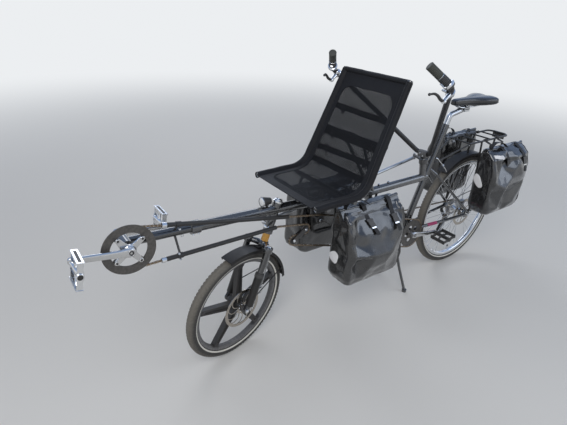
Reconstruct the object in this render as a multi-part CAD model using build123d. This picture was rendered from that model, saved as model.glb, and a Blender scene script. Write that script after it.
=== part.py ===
from build123d import *
import math
import os

# Semi-recumbent tandem bicycle.
# Built about the rear axle: X forward, Y to the rider's left, Z up from the floor, in millimetres.

# Clearances
RUN_GAP = 0.3
FIT_GAP = 0.2
CLAMP_GAP = 0.1

# Wheels
WHEELBASE = 1457.0
REAR_WHEEL_R = 330.0
FRONT_WHEEL_R = 250.0
TYRE_R = 22.0
REAR_RIM_INSET = 38.0
REAR_RIM_DEPTH = 20.0
FRONT_RIM_INSET = 37.0
FRONT_RIM_DEPTH = 16.0
REAR_HUB_WIDTH = 135.0
FRONT_HUB_WIDTH = 100.0
HUB_R = 15.0
FRONT_HUB_R = 14.0
FRONT_HUB_BODY_R = 24.0
FLANGE_R = 29.0
FLANGE_W = 4.0
FLANGES = (32.0, -24.0)
AXLE_R = 5.0
SPOKE_COUNT = 32
SPOKE_R = 1.3
SPOKE_LEAD = 60.0
SPOKE_LEAN = 2.5
MAG_SPOKES = 5
MAG_TURN = 18.0
MAG_ROOT = 18.0
ROTOR_T = 2.0
REAR_ROTOR_R = 80.0
REAR_ROTOR_Y = 44.0
FRONT_ROTOR_R = 90.0
FRONT_ROTOR_Y = 34.0
NUT_R = 10.0
NUT_T = 5.0
DRIVEN_R = 40.0
SPROCKETS = (54.0, 48.0, 44.0, DRIVEN_R, 34.0, 29.0, 25.0)
SPROCKET_STEP = 4.4
SPROCKET_T = 2.0
FIRST_SPROCKET_Y = -30.0

# Fork, measured along its steering axis from the axle
HEAD_ANGLE = 20.0
FORK_OFFSET = 40.0
FORK_REST = 13.0
LEG_Y = 57.0
LEG_R = 17.0
LEG_FORWARD = 32.0
LEG_FOOT = 24.0
LEG_TOP_BELOW_TYRE = 85.0
LUG_R = 14.0
LUG_W = 11.0
STANCHION_R = 13.0
STEERER_R = 13.0
CROWN_CLEAR = 14.0
CROWN_T = 20.0
COLLAR_R = 15.5
COLLAR_T = 39.0
STEER_ARM_R = 21.0
STEER_ARM_T = 23.0
HEAD_GAP = 3.0
HEAD_TUBE_R = 19.0
HEAD_TUBE_LENGTH = 111.0

# Frame
TUBE_R = 20.0
TUBE_BEND = 250.0
TUBE_ABOVE_HEAD = 17.575
BOOM_R = 17.5
BOOM_RISE = 26.0
BOOM_LENGTH = 461.0
CLAMP_W = 34.0
SEAT_TUBE_R = 17.0
SEAT_TUBE_SLOPE = 0.343
SEAT_TUBE_TOP_Z = 860.0
DOWN_TUBE_R = 16.0
STAY_R = 8.0
SEAT_STAY_R = 7.0
DROPOUT_T = 6.0
BB_SHELL_R = 23.0
BB_WIDTH = 73.0
REAR_BB = (443.0, 318.0)
GUARD_WALL = 2.5
GUARD_STAY_R = 2.2
GUARD_CLEAR = 8.0

# Cranks and chain
CRANK = 172.0
CRANK_Y = 73.0
CRANK_T = 14.0
CRANK_AXLE_R = 10.0
SPINDLE_R = 6.0
FRONT_CRANK_TILT = 8.0
REAR_CRANK_TILT = 10.0
PEDAL_LONG = 92.0
PEDAL_WIDE = 88.0
PEDAL_THICK = 24.0
PEDAL_RIM = 6.0
FRONT_RING_R = 76.8
GUARD_R = 88.0
RING_WINDOW = 61.0
BOLT_R = 55.0
SPIDER_W = 7.0
REAR_RING_R = 78.0
DRIVE_RING_R = 85.0
PULLEY_R = 22.0
PULLEY_W = 6.0
MOUTH_PULLEY_R = 24.0
CHAIN_H = 9.0
CHAIN_W = 6.0
LINK = 12.7
TOOTH_H = 5.0
TOOTH_W = 3.2
GROOVE_TOP = 1.0
CHAIN_Y = 50.0
TUBE_BORE = 6.6
TUBE_WALL = 1.6

# Seat
SEAT_RAIL_R = 11.0
SEAT_BEND_R = 60.0
SLING = 5.0
SEAT_MOUNT_R = 10.5
SEAT_STRUT_R = 7.0
LOW_BAR_SHARE = 0.42
TOP_BAR_SHARE = 0.985
BAR_BEHIND = 15.0

# Handlebar
BAR_LEAN = 11.5
BAR_REST = 6.3
BAR_TUBE_R = 11.5
LEVER_B = (-30.0, -84.0)
LEVER_RATIO = 2.0
ROD_R = 8.0
ROD_PIN_R = 5.0
GRIP_R = 16.0
GRIP_START = 22.0
GRIP_LENGTH = 98.0

# Saddle
SADDLE_Z = 960.0
POST_R = 13.6
SADDLE_RAIL_R = 3.5

# Luggage
RACK_R = 5.0
RACK_HALF = 60.0
RACK_FRONT_X = 110.0
RACK_REAR_X = -250.0
CARRIER_Y = 88.0
CARRIER_RAIL_R = 6.5
LIGHT_HOLES = 50.0
LIGHT_HOLE_R = 2.75
BOTTLE_HOLES = 64.0
BOTTLE_HOLE_R = 2.6
BOTTLE_X = 652.0
BAG_GAP = 7.0

# Stand
STAND_PIVOT = (502.0, 270.0)
STAND_FOOT = (486.0, 107.0)
STAND_LEG_R = 7.0
STAND_PIN_R = 5.0
STAND_EAR_Y = 19.0

# Places that follow from the wheels: the main tube passes the head tube a little above its middle
HEAD_SIN = math.sin(math.radians(HEAD_ANGLE))
HEAD_COS = math.cos(math.radians(HEAD_ANGLE))
HEAD_DIR = (-HEAD_SIN, 0, HEAD_COS)
HEAD_FOOT = (WHEELBASE - FORK_OFFSET * HEAD_COS, 0, FRONT_WHEEL_R - FORK_OFFSET * HEAD_SIN)
HEAD_AXIS = Axis(HEAD_FOOT, HEAD_DIR)
LEG_TOP = FRONT_WHEEL_R - LEG_TOP_BELOW_TYRE
CROWN_LOW = FRONT_WHEEL_R + CROWN_CLEAR
CROWN_TOP = CROWN_LOW + CROWN_T
COLLAR_TOP = CROWN_TOP + COLLAR_T
ARM_TOP = COLLAR_TOP + STEER_ARM_T
HEAD_LOW = ARM_TOP + HEAD_GAP
HEAD_TOP = HEAD_LOW + HEAD_TUBE_LENGTH
TUBE_Z = HEAD_FOOT[2] + HEAD_COS * (HEAD_LOW + HEAD_TOP) / 2 + TUBE_ABOVE_HEAD
TUBE_FRONT_X = WHEELBASE + 183.0
TUBE_KNEE = (WHEELBASE - 277.0, TUBE_Z)
TUBE_DIP = (WHEELBASE - 657.0, TUBE_Z - 36.0)
TUBE_REAR_Z = TUBE_Z - 34.0
FRONT_BB = (WHEELBASE + 414.0, TUBE_Z + BOOM_RISE)
IDLER = (WHEELBASE - 379.0, TUBE_Z - 72.0)
TENSION = ((WHEELBASE - 246.0, TUBE_Z - 133.0), (WHEELBASE - 304.0, TUBE_Z - 97.0))
MOUTH_PULLEY = (WHEELBASE - 167.0, TUBE_Z - 74.0)
LAMP = (WHEELBASE - 135.0, TUBE_Z + 47.0)
SEAT_FRONT = (WHEELBASE - 225.0, 200.0, TUBE_Z + 73.0)
SEAT_BEND = (WHEELBASE - 472.0, 204.0, TUBE_Z + 78.0)
SEAT_TOP = (WHEELBASE - 659.0, 180.0, TUBE_Z + 501.0)
SEAT_MOUNTS_X = (WHEELBASE - 292.0, WHEELBASE - 427.0)
SEAT_STRUT_FOOT = (WHEELBASE - 722.0, 12.0, TUBE_Z - 28.0)
CARRIER_Z = TUBE_Z + 7.0
LEVER_Z = TUBE_Z + 56.0
BAR_Z = LEVER_Z + 38.0
BAR_FOOT_Z = LEVER_Z - 56.0
BAR_X = REAR_BB[0] - 56.0
BAR_CORNER = (BAR_X + 389.0, 295.0, BAR_Z + 397.0)
BAR_END = (BAR_X + 460.0, 235.0, BAR_Z + 470.0)
BLADE_TIP = (BAR_X + 475.0, 256.0, BAR_Z + 384.0)
RACK_Z = REAR_WHEEL_R + 422.0
DROPOUT_Y = REAR_HUB_WIDTH / 2
DRIVE_Y = FIRST_SPROCKET_Y - SPROCKET_STEP * SPROCKETS.index(DRIVEN_R)
DERAILLEUR = ((18.0, REAR_WHEEL_R - 68.0), (62.0, REAR_WHEEL_R - 134.0))
MIDDLE_X = WHEELBASE / 2 + 130.44
MIDDLE_Y = 32.44


def node(name, *solids):
    """Write the solids as one named piece, moved so that the origin is under the machine's middle."""
    moved = [Pos(-MIDDLE_X, -MIDDLE_Y, 0) * s for body in solids for s in body.solids()]
    export_step(moved[0] if len(moved) == 1 else Compound(children=moved), f"parts/{name}.step")


def rod(a, b, r, r2=None):
    """Round bar from a to b, tapered to r2 when it is given."""
    a, b = Vector(*a), Vector(*b)
    plane = Plane(origin=a, z_dir=b - a)
    length = (b - a).length
    if r2 is None:
        return Solid.make_cylinder(r, length, plane)
    return Solid.make_cone(r, r2, length, plane)


def bent(points, corner, r):
    """Round bar along straight runs joined by arcs."""
    path = FilletPolyline(*points, radius=corner)
    return sweep(Plane(origin=path @ 0, z_dir=path % 0) * Circle(r), path=path)


def disc(x, y, z, r, w):
    """Short cylinder lying along Y, centred on the point."""
    return Pos(x, y, z) * Rot(90, 0, 0) * Cylinder(r, w)


def ring(x, y, z, outer, inner, w):
    """Flat ring lying along Y."""
    return disc(x, y, z, outer, w) - disc(x, y, z, inner, w + 2)


def plate(outline, y, w):
    """Flat sketch drawn in X and Z, w thick about y."""
    return Pos(0, y, 0) * Rot(90, 0, 0) * extrude(outline, w / 2, both=True)


def hull(circles):
    """Outline drawn tight round the circles."""
    return make_face(Wire.make_convex_hull([e for c in circles for e in c.edges()]))


def link(a, r_a, b, r_b):
    """Outline of a flat link between two places in X and Z."""
    return hull([Pos(*a) * Circle(r_a), Pos(*b) * Circle(r_b)])


def biggest(shape):
    return max(shape.solids(), key=lambda s: s.volume)


def joined(pieces):
    """One body from pieces that touch."""
    whole = pieces[0]
    for piece in pieces[1:]:
        whole += piece
    return whole


def spin(section, x, z, angle=360):
    """Section drawn as (radius, y), turned about a lying axis through x, z."""
    return Pos(x, 0, z) * revolve(section, Axis.Y, angle)


def box(x0, x1, y0, y1, z0, z1):
    return Pos((x0 + x1) / 2, (y0 + y1) / 2, (z0 + z1) / 2) * Box(x1 - x0, abs(y1 - y0), z1 - z0)


def flip(point, side):
    """The same place on the left or the right."""
    return (point[0], side * point[1], point[2])


def seat_tube_x(z):
    return REAR_BB[0] - SEAT_TUBE_SLOPE * (z - REAR_BB[1])


def head(t, forward=0.0, y=0.0):
    """Place at length t along the fork's axis, forward of it and to the left."""
    x = HEAD_FOOT[0] + t * HEAD_DIR[0] + forward * HEAD_DIR[2]
    return (x, y, HEAD_FOOT[2] + t * HEAD_DIR[2] - forward * HEAD_DIR[0])


def fork_leg(t, side):
    """Place on a fork leg's middle line."""
    return head(t, LEG_FORWARD, side * LEG_Y)


BAR_DIR = (math.sin(math.radians(BAR_LEAN)), 0, math.cos(math.radians(BAR_LEAN)))


def bar_point(z, y=0.0):
    """Place on the handlebar's steering axis."""
    return (BAR_X + (z - LEVER_Z - 10.0) * BAR_DIR[0] / BAR_DIR[2], y, z)


BAR_AXIS = Axis(bar_point(0), BAR_DIR)


def steer_fork(shape):
    return shape.rotate(HEAD_AXIS, FORK_REST)


def steer_bar(shape):
    return shape.rotate(BAR_AXIS, BAR_REST)


def boom_point(x):
    """Place on the boom's middle line."""
    slope = BOOM_RISE / (FRONT_BB[0] - TUBE_KNEE[0])
    return (x, 0, TUBE_Z + (x - TUBE_KNEE[0]) * slope)


# Chain line: circles in order of travel, each x, z, radius and turn (+1 anticlockwise)
def tangent(c0, c1, shift):
    """Straight run between two circles, with the line moved outward by shift."""
    (x0, z0, r0, s0), (x1, z1, r1, s1) = c0, c1
    a0, a1 = s0 * (r0 + s0 * shift), s1 * (r1 + s1 * shift)
    dx, dz = x1 - x0, z1 - z0
    heading = math.atan2(dz, dx) + math.asin((a0 - a1) / math.hypot(dx, dz))
    side = heading - math.pi / 2
    u = (math.cos(side), math.sin(side))
    return (x0 + a0 * u[0], z0 + a0 * u[1]), (x1 + a1 * u[0], z1 + a1 * u[1])


def loop(circles, shift):
    """Face inside the closed line that runs round the circles."""
    count = len(circles)
    runs = [tangent(circles[i], circles[(i + 1) % count], shift) for i in range(count)]
    edges = []
    for i, (x, z, _, turn) in enumerate(circles):
        arrive, leave = runs[i - 1][1], runs[i][0]
        start = math.atan2(arrive[1] - z, arrive[0] - x)
        end = math.atan2(leave[1] - z, leave[0] - x)
        middle = start + turn * ((end - start) * turn % (2 * math.pi)) / 2
        radius = math.hypot(arrive[0] - x, arrive[1] - z)
        top = (x + radius * math.cos(middle), z + radius * math.sin(middle))
        edges.append(ThreePointArc(arrive, top, leave))
        edges.append(Line(*runs[i]))
    return make_face(Wire(edges))


def chain(circles, y):
    """Closed chain with a groove on its inner side for the sprocket teeth."""
    band = loop(circles, CHAIN_H / 2) - loop(circles, -CHAIN_H / 2)
    groove = loop(circles, -GROOVE_TOP) - loop(circles, -CHAIN_H / 2)
    return plate(band, y, CHAIN_W) - plate(groove, y, TOOTH_W + 2 * RUN_GAP)


def toothed(radius):
    """Sprocket outline, one tooth for each link on its pitch circle."""
    teeth = round(2 * math.pi * radius / LINK)
    tip = radius - GROOVE_TOP - RUN_GAP
    root = tip - TOOTH_H
    points = []
    for i in range(teeth):
        for share, r in ((0.0, root), (0.35, root), (0.6, tip), (0.75, tip)):
            a = 2 * math.pi * (i + share) / teeth
            points.append((r * math.cos(a), r * math.sin(a)))
    return make_face(Polyline(*points, close=True))


def rim_section(outer, depth, bead, lip, inner):
    """Half widths at the bead and the inner edge, with a shoulder a lip above that edge."""
    low = outer - depth
    half = [(outer, bead), (low + lip, 11), (low, inner)]
    return Polygon(*half, *[(r, -y) for r, y in reversed(half)], align=None)


def guard_arc(radius, width, flange, first, sweep_angle, axle):
    """Mudguard: a crown strip with a rolled edge each side, from its first angle."""
    section = Rectangle(GUARD_WALL, width)
    for side in (1, -1):
        section += Pos(1 - flange / 2, side * width / 2) * Rectangle(flange, GUARD_WALL)
    arc = spin(Pos(radius, 0) * section, 0, 0, -sweep_angle)
    return Pos(axle[0], 0, axle[1]) * Rot(0, -first, 0) * arc


def round_wheel(axle, angle, r, y):
    """Place at an angle round an axle."""
    a = math.radians(angle)
    return (axle[0] + r * math.cos(a), y, axle[1] + r * math.sin(a))


os.makedirs("parts", exist_ok=True)
REAR_AXLE = (0.0, REAR_WHEEL_R)
FRONT_AXLE = (WHEELBASE, FRONT_WHEEL_R)

# Rear wheel
rear_rim = rim_section(REAR_WHEEL_R - REAR_RIM_INSET, REAR_RIM_DEPTH, 12, 6, 5)
rear_tyre = Pos(REAR_WHEEL_R - TYRE_R, 0) * Circle(TYRE_R) - rear_rim
node("rear_tyre", spin(rear_tyre, *REAR_AXLE))
node("rear_rim", spin(rear_rim, *REAR_AXLE))
rim_inner = REAR_WHEEL_R - REAR_RIM_INSET - REAR_RIM_DEPTH
hub = disc(0, 0, REAR_WHEEL_R, HUB_R, REAR_HUB_WIDTH - 12)
for y in FLANGES:
    hub += disc(0, y, REAR_WHEEL_R, FLANGE_R, FLANGE_W)
hub -= disc(0, 0, REAR_WHEEL_R, AXLE_R + RUN_GAP, REAR_HUB_WIDTH)
spokes = []
for i in range(SPOKE_COUNT):
    lead = SPOKE_LEAD if i // 2 % 2 else -SPOKE_LEAD
    at_rim = 360 * i / SPOKE_COUNT
    foot_y = FLANGES[i % 2] + math.copysign(SPOKE_LEAN, lead)
    foot = Vector(*round_wheel(REAR_AXLE, at_rim + lead, FLANGE_R - FLANGE_W, foot_y))
    end = Vector(*round_wheel(REAR_AXLE, at_rim, rim_inner, 4 - 8 * (i % 2)))
    tip = end - (end - foot).normalized() * 0.8
    spokes.append(rod(tuple(foot), tuple(tip), SPOKE_R))
node("rear_hub", hub.fuse(*spokes))
rotor_inner = REAR_ROTOR_R - 15
rotor = ring(0, REAR_ROTOR_Y, REAR_WHEEL_R, REAR_ROTOR_R, rotor_inner, ROTOR_T)
for i in range(6):
    a = math.radians(60 * i)
    b = a + 0.5
    root = (22 * math.cos(a), 22 * math.sin(a))
    far = ((rotor_inner + 2) * math.cos(b), (rotor_inner + 2) * math.sin(b))
    rotor += Pos(0, 0, REAR_WHEEL_R) * plate(link(root, 3, far, 3), REAR_ROTOR_Y, ROTOR_T)
rotor += disc(0, REAR_ROTOR_Y, REAR_WHEEL_R, 25, ROTOR_T)
node("rear_rotor", rotor - disc(0, REAR_ROTOR_Y, REAR_WHEEL_R, HUB_R, 10))
sprockets = []
for i, r in enumerate(SPROCKETS):
    y = FIRST_SPROCKET_Y - SPROCKET_STEP * i
    spacer = disc(0, y - SPROCKET_STEP / 2, REAR_WHEEL_R, 18, SPROCKET_STEP - SPROCKET_T + 0.4)
    sprockets.append(disc(0, y, REAR_WHEEL_R, r - CHAIN_H / 2 - RUN_GAP, SPROCKET_T) + spacer)
node("rear_cassette", joined(sprockets) - disc(0, FIRST_SPROCKET_Y, REAR_WHEEL_R, HUB_R, 100))
axle = disc(0, 0, REAR_WHEEL_R, AXLE_R, REAR_HUB_WIDTH + 26)
for side in (1, -1):
    axle += disc(0, side * (DROPOUT_Y + 9.7), REAR_WHEEL_R, NUT_R, NUT_T)
node("rear_axle", axle)

# Front wheel, a five spoke casting
front_rim = rim_section(FRONT_WHEEL_R - FRONT_RIM_INSET, FRONT_RIM_DEPTH, 13, 5, 6)
casting = spin(front_rim, *FRONT_AXLE)
front_hub_end = FRONT_HUB_WIDTH / 2 - 5
casting += disc(WHEELBASE, 0, FRONT_WHEEL_R, FRONT_HUB_BODY_R, 2 * FRONT_ROTOR_Y - ROTOR_T)
casting += disc(WHEELBASE, 0, FRONT_WHEEL_R, FRONT_HUB_R, 2 * front_hub_end)
spoke_out = FRONT_WHEEL_R - FRONT_RIM_INSET - FRONT_RIM_DEPTH + 3
blade = Polygon((MAG_ROOT, -17), (spoke_out, -11), (spoke_out, 11), (MAG_ROOT, 17), align=None)
slot_in, slot_out = MAG_ROOT + 28, spoke_out - 18
slot = Polygon((slot_in, -6.5), (slot_out, -4.5), (slot_out, 4.5), (slot_in, 6.5), align=None)
arm = extrude(blade, 11, both=True) - Pos(0, 0, 8) * extrude(slot, 5) - Pos(0, 0, -13) * extrude(slot, 5)
for i in range(MAG_SPOKES):
    turned = Rot(90, 0, 0) * Rot(0, 0, 360 * i / MAG_SPOKES + MAG_TURN) * arm
    casting += Pos(WHEELBASE, 0, FRONT_WHEEL_R) * turned
casting -= disc(WHEELBASE, 0, FRONT_WHEEL_R, AXLE_R + RUN_GAP, 2 * FRONT_HUB_WIDTH)
node("front_wheel", steer_fork(casting))
front_tyre = Pos(FRONT_WHEEL_R - TYRE_R, 0) * Circle(TYRE_R) - front_rim
node("front_tyre", steer_fork(spin(front_tyre, *FRONT_AXLE)))
rotor = ring(WHEELBASE, FRONT_ROTOR_Y, FRONT_WHEEL_R, FRONT_ROTOR_R, FRONT_ROTOR_R - 13, ROTOR_T)
hoop = Pos(0, 52) * Circle(31) - Pos(0, 52) * Circle(27.5)
hoop &= Pos(14, 52) * Rectangle(40, 76)
for i in range(12):
    curved = Rot(90, 0, 0) * Rot(0, 0, 30 * i) * extrude(hoop, ROTOR_T / 2, both=True)
    rotor += Pos(WHEELBASE, FRONT_ROTOR_Y, FRONT_WHEEL_R) * curved
rotor += disc(WHEELBASE, FRONT_ROTOR_Y, FRONT_WHEEL_R, FRONT_HUB_BODY_R + 2, ROTOR_T)
rotor -= disc(WHEELBASE, FRONT_ROTOR_Y, FRONT_WHEEL_R, FRONT_HUB_R + CLAMP_GAP, 10)
node("front_rotor", steer_fork(rotor))

# Fork
lowers = []
for side in (1, -1):
    leg = rod(fork_leg(LEG_FOOT, side), fork_leg(LEG_TOP, side), LEG_R)
    leg += rod(fork_leg(LEG_TOP - 12, side), fork_leg(LEG_TOP, side), LEG_R + 2)
    foot = head(LEG_FOOT + 14, LEG_FORWARD)
    lug = link((foot[0], foot[2]), LUG_R, FRONT_AXLE, LUG_R)
    leg += plate(lug, side * (FRONT_HUB_WIDTH / 2 + LUG_W / 2), LUG_W)
    leg -= rod(fork_leg(60, side), fork_leg(LEG_TOP + 20, side), STANCHION_R + FIT_GAP)
    leg -= disc(WHEELBASE, side * LEG_Y, FRONT_WHEEL_R, AXLE_R + FIT_GAP, 60)
    lowers.append(leg)
node("fork_lowers", *[steer_fork(leg) for leg in lowers])
crown_at = head((CROWN_LOW + CROWN_TOP) / 2, LEG_FORWARD / 2)
crown = Pos(*crown_at) * Rot(0, -HEAD_ANGLE, 0) * Box(LEG_FORWARD + 34, 2 * LEG_Y + 34, CROWN_T)
crown = fillet(crown.edges().filter_by(HEAD_AXIS), 14)
for side in (1, -1):
    crown += rod(fork_leg(80, side), fork_leg(CROWN_TOP - 2, side), STANCHION_R)
crown += rod(head(CROWN_TOP - 4), head(HEAD_TOP + 2), STEERER_R)
node("fork_crown", steer_fork(crown))
steerer_hole = rod(head(CROWN_TOP - 5), head(ARM_TOP + 5), STEERER_R + CLAMP_GAP)
node("fork_collar", steer_fork(rod(head(CROWN_TOP), head(COLLAR_TOP), COLLAR_R) - steerer_hole))
arm_at = head((COLLAR_TOP + ARM_TOP) / 2)
pin_f = (arm_at[0] + LEVER_B[0] / LEVER_RATIO, LEVER_B[1] / LEVER_RATIO, arm_at[2])
steer_arm = rod(head(COLLAR_TOP + 1), head(ARM_TOP), STEER_ARM_R)
steer_arm += rod(arm_at, pin_f, 7)
steer_arm += rod((pin_f[0], pin_f[1], pin_f[2] - 8), (pin_f[0], pin_f[1], pin_f[2] + 22), ROD_PIN_R)
node("fork_steering_arm", steer_arm - steerer_hole)
front_axle = disc(WHEELBASE, 0, FRONT_WHEEL_R, AXLE_R, FRONT_HUB_WIDTH + 2 * LUG_W + 14)
cone_w = FRONT_HUB_WIDTH / 2 - front_hub_end - RUN_GAP
for side in (1, -1):
    nut_y = side * (FRONT_HUB_WIDTH / 2 + LUG_W + 2.7)
    front_axle += disc(WHEELBASE, nut_y, FRONT_WHEEL_R, NUT_R - 1, NUT_T)
    front_axle += disc(WHEELBASE, side * (FRONT_HUB_WIDTH / 2 - cone_w / 2), FRONT_WHEEL_R, 8, cone_w)
node("front_axle", steer_fork(front_axle))
front_guard_r = FRONT_WHEEL_R + GUARD_CLEAR - 1
front_guard = guard_arc(front_guard_r, 54, 12, 75, 97, FRONT_AXLE)
tab = Pos(*head(CROWN_LOW - 4, 26)) * Rot(0, -HEAD_ANGLE, 0) * Box(26, 24, 7.4)
front_guard += tab - disc(WHEELBASE, 0, FRONT_WHEEL_R, front_guard_r, 80)
for side in (1, -1):
    far = round_wheel(FRONT_AXLE, 158, front_guard_r - 6, side * 28)
    front_guard += rod(far, head(58, LEG_FORWARD, side * (LEG_Y + 9)), GUARD_STAY_R)
for leg in lowers:
    front_guard -= leg
front_guard -= rod(fork_leg(60, 1), fork_leg(90, 1), LEG_R)
node("front_mudguard", steer_fork(biggest(front_guard)))


def caliper_body(x, z, long, high, y, axle, rotor_r):
    """Brake body astride its rotor."""
    body = box(x - long / 2, x + long / 2, y - 9, y + 9, z - high / 2, z + high / 2)
    return body - ring(axle[0], y, axle[1], rotor_r + 3, rotor_r - 60, ROTOR_T + 2)


caliper_at = (WHEELBASE - 84, FRONT_WHEEL_R + 58)
caliper = caliper_body(*caliper_at, 40, 52, FRONT_ROTOR_Y, FRONT_AXLE, FRONT_ROTOR_R)
leg_at = head(86, LEG_FORWARD)
caliper += plate(link(caliper_at, 13, (leg_at[0], leg_at[2]), 12), FRONT_ROTOR_Y + 12, 6)
caliper -= rod(fork_leg(60, 1), fork_leg(120, 1), LEG_R - 1)
node("front_caliper", steer_fork(biggest(caliper - lowers[0])))

# Main tube with the head tube and bottle bosses
main_line = [boom_point(TUBE_FRONT_X), (TUBE_KNEE[0], 0, TUBE_KNEE[1]), (TUBE_DIP[0], 0, TUBE_DIP[1])]
main_line.append((seat_tube_x(TUBE_REAR_Z), 0, TUBE_REAR_Z))
main_tube = bent(main_line, TUBE_BEND, TUBE_R)
seat_tube_foot = (REAR_BB[0], 0, REAR_BB[1])
seat_tube_body = rod(seat_tube_foot, (seat_tube_x(SEAT_TUBE_TOP_Z), 0, SEAT_TUBE_TOP_Z), SEAT_TUBE_R)
rear_shell = disc(REAR_BB[0], 0, REAR_BB[1], BB_SHELL_R, BB_WIDTH)
main_tube += rod(head(HEAD_LOW), head(HEAD_TOP), HEAD_TUBE_R)
main_tube -= rod(head(HEAD_LOW - 5), head(HEAD_TOP + 5), STEERER_R + RUN_GAP)
boom_inner = boom_point(FRONT_BB[0] - BOOM_LENGTH)
main_tube -= rod(boom_point(TUBE_FRONT_X + 10), boom_point(boom_inner[0] - 10), BOOM_R + FIT_GAP)
for x in (BOTTLE_X - BOTTLE_HOLES / 2, BOTTLE_X + BOTTLE_HOLES / 2):
    main_tube += rod((x, 0, TUBE_REAR_Z + 10), (x, 0, TUBE_REAR_Z + 23), 6)
    main_tube -= rod((x, 0, TUBE_REAR_Z + 12), (x, 0, TUBE_REAR_Z + 30), BOTTLE_HOLE_R)
main_tube -= seat_tube_body
node("main_tube", main_tube)

# Boom and its clamp
bb_bore = CRANK_AXLE_R + RUN_GAP
boom = rod(boom_point(FRONT_BB[0]), boom_inner, BOOM_R)
boom += disc(FRONT_BB[0], 0, FRONT_BB[1], BB_SHELL_R, BB_WIDTH)
node("boom", boom - disc(FRONT_BB[0], 0, FRONT_BB[1], bb_bore, BB_WIDTH + 10))
clamp_front = TUBE_FRONT_X - 2
clamp = rod(boom_point(clamp_front - CLAMP_W), boom_point(clamp_front), TUBE_R + 5)
node("boom_clamp", clamp - rod(boom_point(clamp_front - 50), boom_point(clamp_front + 10), TUBE_R))

# Rear frame
seat_tube = seat_tube_body + rear_shell - disc(REAR_BB[0], 0, REAR_BB[1], bb_bore, BB_WIDTH + 10)
post_low, post_high = SEAT_TUBE_TOP_Z - 160, SEAT_TUBE_TOP_Z + 20
post_ends = [(seat_tube_x(z), 0, z) for z in (post_low, post_high)]
seat_tube -= rod(*post_ends, POST_R + RUN_GAP)
node("seat_tube", seat_tube)
gusset_z = TUBE_REAR_Z + 25
column = rod(bar_point(TUBE_REAR_Z + 8), bar_point(LEVER_Z - 12), 18)
column += box(seat_tube_x(gusset_z + 30), bar_point(gusset_z + 30)[0], -4, 4, gusset_z, gusset_z + 47)
column -= rod(bar_point(TUBE_REAR_Z - 40), bar_point(BAR_Z), STEERER_R + RUN_GAP)
node("bar_column", biggest(column - seat_tube_body - main_tube))
down_tube = rod((TUBE_DIP[0] - 20, 0, TUBE_DIP[1]), (REAR_BB[0], 0, REAR_BB[1]), DOWN_TUBE_R)
down_tube = biggest(down_tube - main_tube - seat_tube_body - rear_shell)
node("down_tube", down_tube)
low_stays = []
high_stays = []
dropouts = []
for side in (1, -1):
    drop_y = side * (DROPOUT_Y + 4)
    half = DROPOUT_T / 2
    drop = box(-18, 22, drop_y - half, drop_y + half, REAR_WHEEL_R - 16, REAR_WHEEL_R + 26)
    dropouts.append(drop)
    line = [(REAR_BB[0] - 8, 27, REAR_BB[1]), (REAR_BB[0] - 98, 32, REAR_BB[1] + 3)]
    line += [(REAR_WHEEL_R / 2, 58, REAR_WHEEL_R - 4), (12, DROPOUT_Y + 4, REAR_WHEEL_R)]
    low = bent([flip(p, side) for p in line], 60, STAY_R) - rear_shell + drop
    low_stays.append(low - disc(0, side * DROPOUT_Y, REAR_WHEEL_R, AXLE_R + FIT_GAP, 60))
    stay_z = TUBE_REAR_Z + 40
    line = [(seat_tube_x(stay_z), 12, stay_z), (seat_tube_x(stay_z) - 30, 37, stay_z - 28)]
    line.append((4, DROPOUT_Y + 3, REAR_WHEEL_R + 20))
    high = bent([flip(p, side) for p in line], 24, SEAT_STAY_R)
    high_stays.append(biggest(high - seat_tube_body - drop))
node("chain_stays", *low_stays)
node("seat_stays", *high_stays)

# Saddle and its post
clamp_z = SADDLE_Z - 34
post_line = [(seat_tube_x(z), 0, z) for z in (SEAT_TUBE_TOP_Z - 140, SADDLE_Z - 55)]
post_line.append((140.0, 0, clamp_z - 2))
post = bent(post_line, 22, POST_R) + box(122, 158, -24, 24, clamp_z - 10, clamp_z + 10)
half_outline = [(236, 17), (120, 26), (20, 70), (-30, 78), (-48, 60)]
outline = half_outline + [(x, -y) for x, y in reversed(half_outline)]
saddle = Pos(0, 0, SADDLE_Z - 14) * extrude(make_face(Polyline(*outline, close=True)), 38)
saddle = fillet(saddle.edges().group_by(Axis.Z)[-1], 12)
rail_line = [(200, 8, SADDLE_Z - 10), (172, 14, clamp_z), (70, 22, clamp_z), (14, 34, SADDLE_Z - 8)]
for side in (1, -1):
    saddle += bent([flip(p, side) for p in rail_line], 8, SADDLE_RAIL_R)
node("saddle", saddle)
node("seat_post", biggest(post - saddle))


# Cranks
def crank_end(bb, tilt):
    a = math.radians(tilt)
    return (bb[0] + CRANK * math.cos(a), bb[1] + CRANK * math.sin(a))


def crankset(bb, tilt):
    """Axle and both arms; the left arm points at tilt, the right one opposite."""
    body = disc(bb[0], 0, bb[1], CRANK_AXLE_R, 2 * CRANK_Y)
    for side, angle in ((1, tilt), (-1, tilt + 180)):
        end = crank_end(bb, angle)
        body += plate(link(bb, 17, end, 14), side * CRANK_Y, CRANK_T)
        body -= disc(end[0], side * CRANK_Y, end[1], SPINDLE_R + RUN_GAP, 30)
    return body


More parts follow.
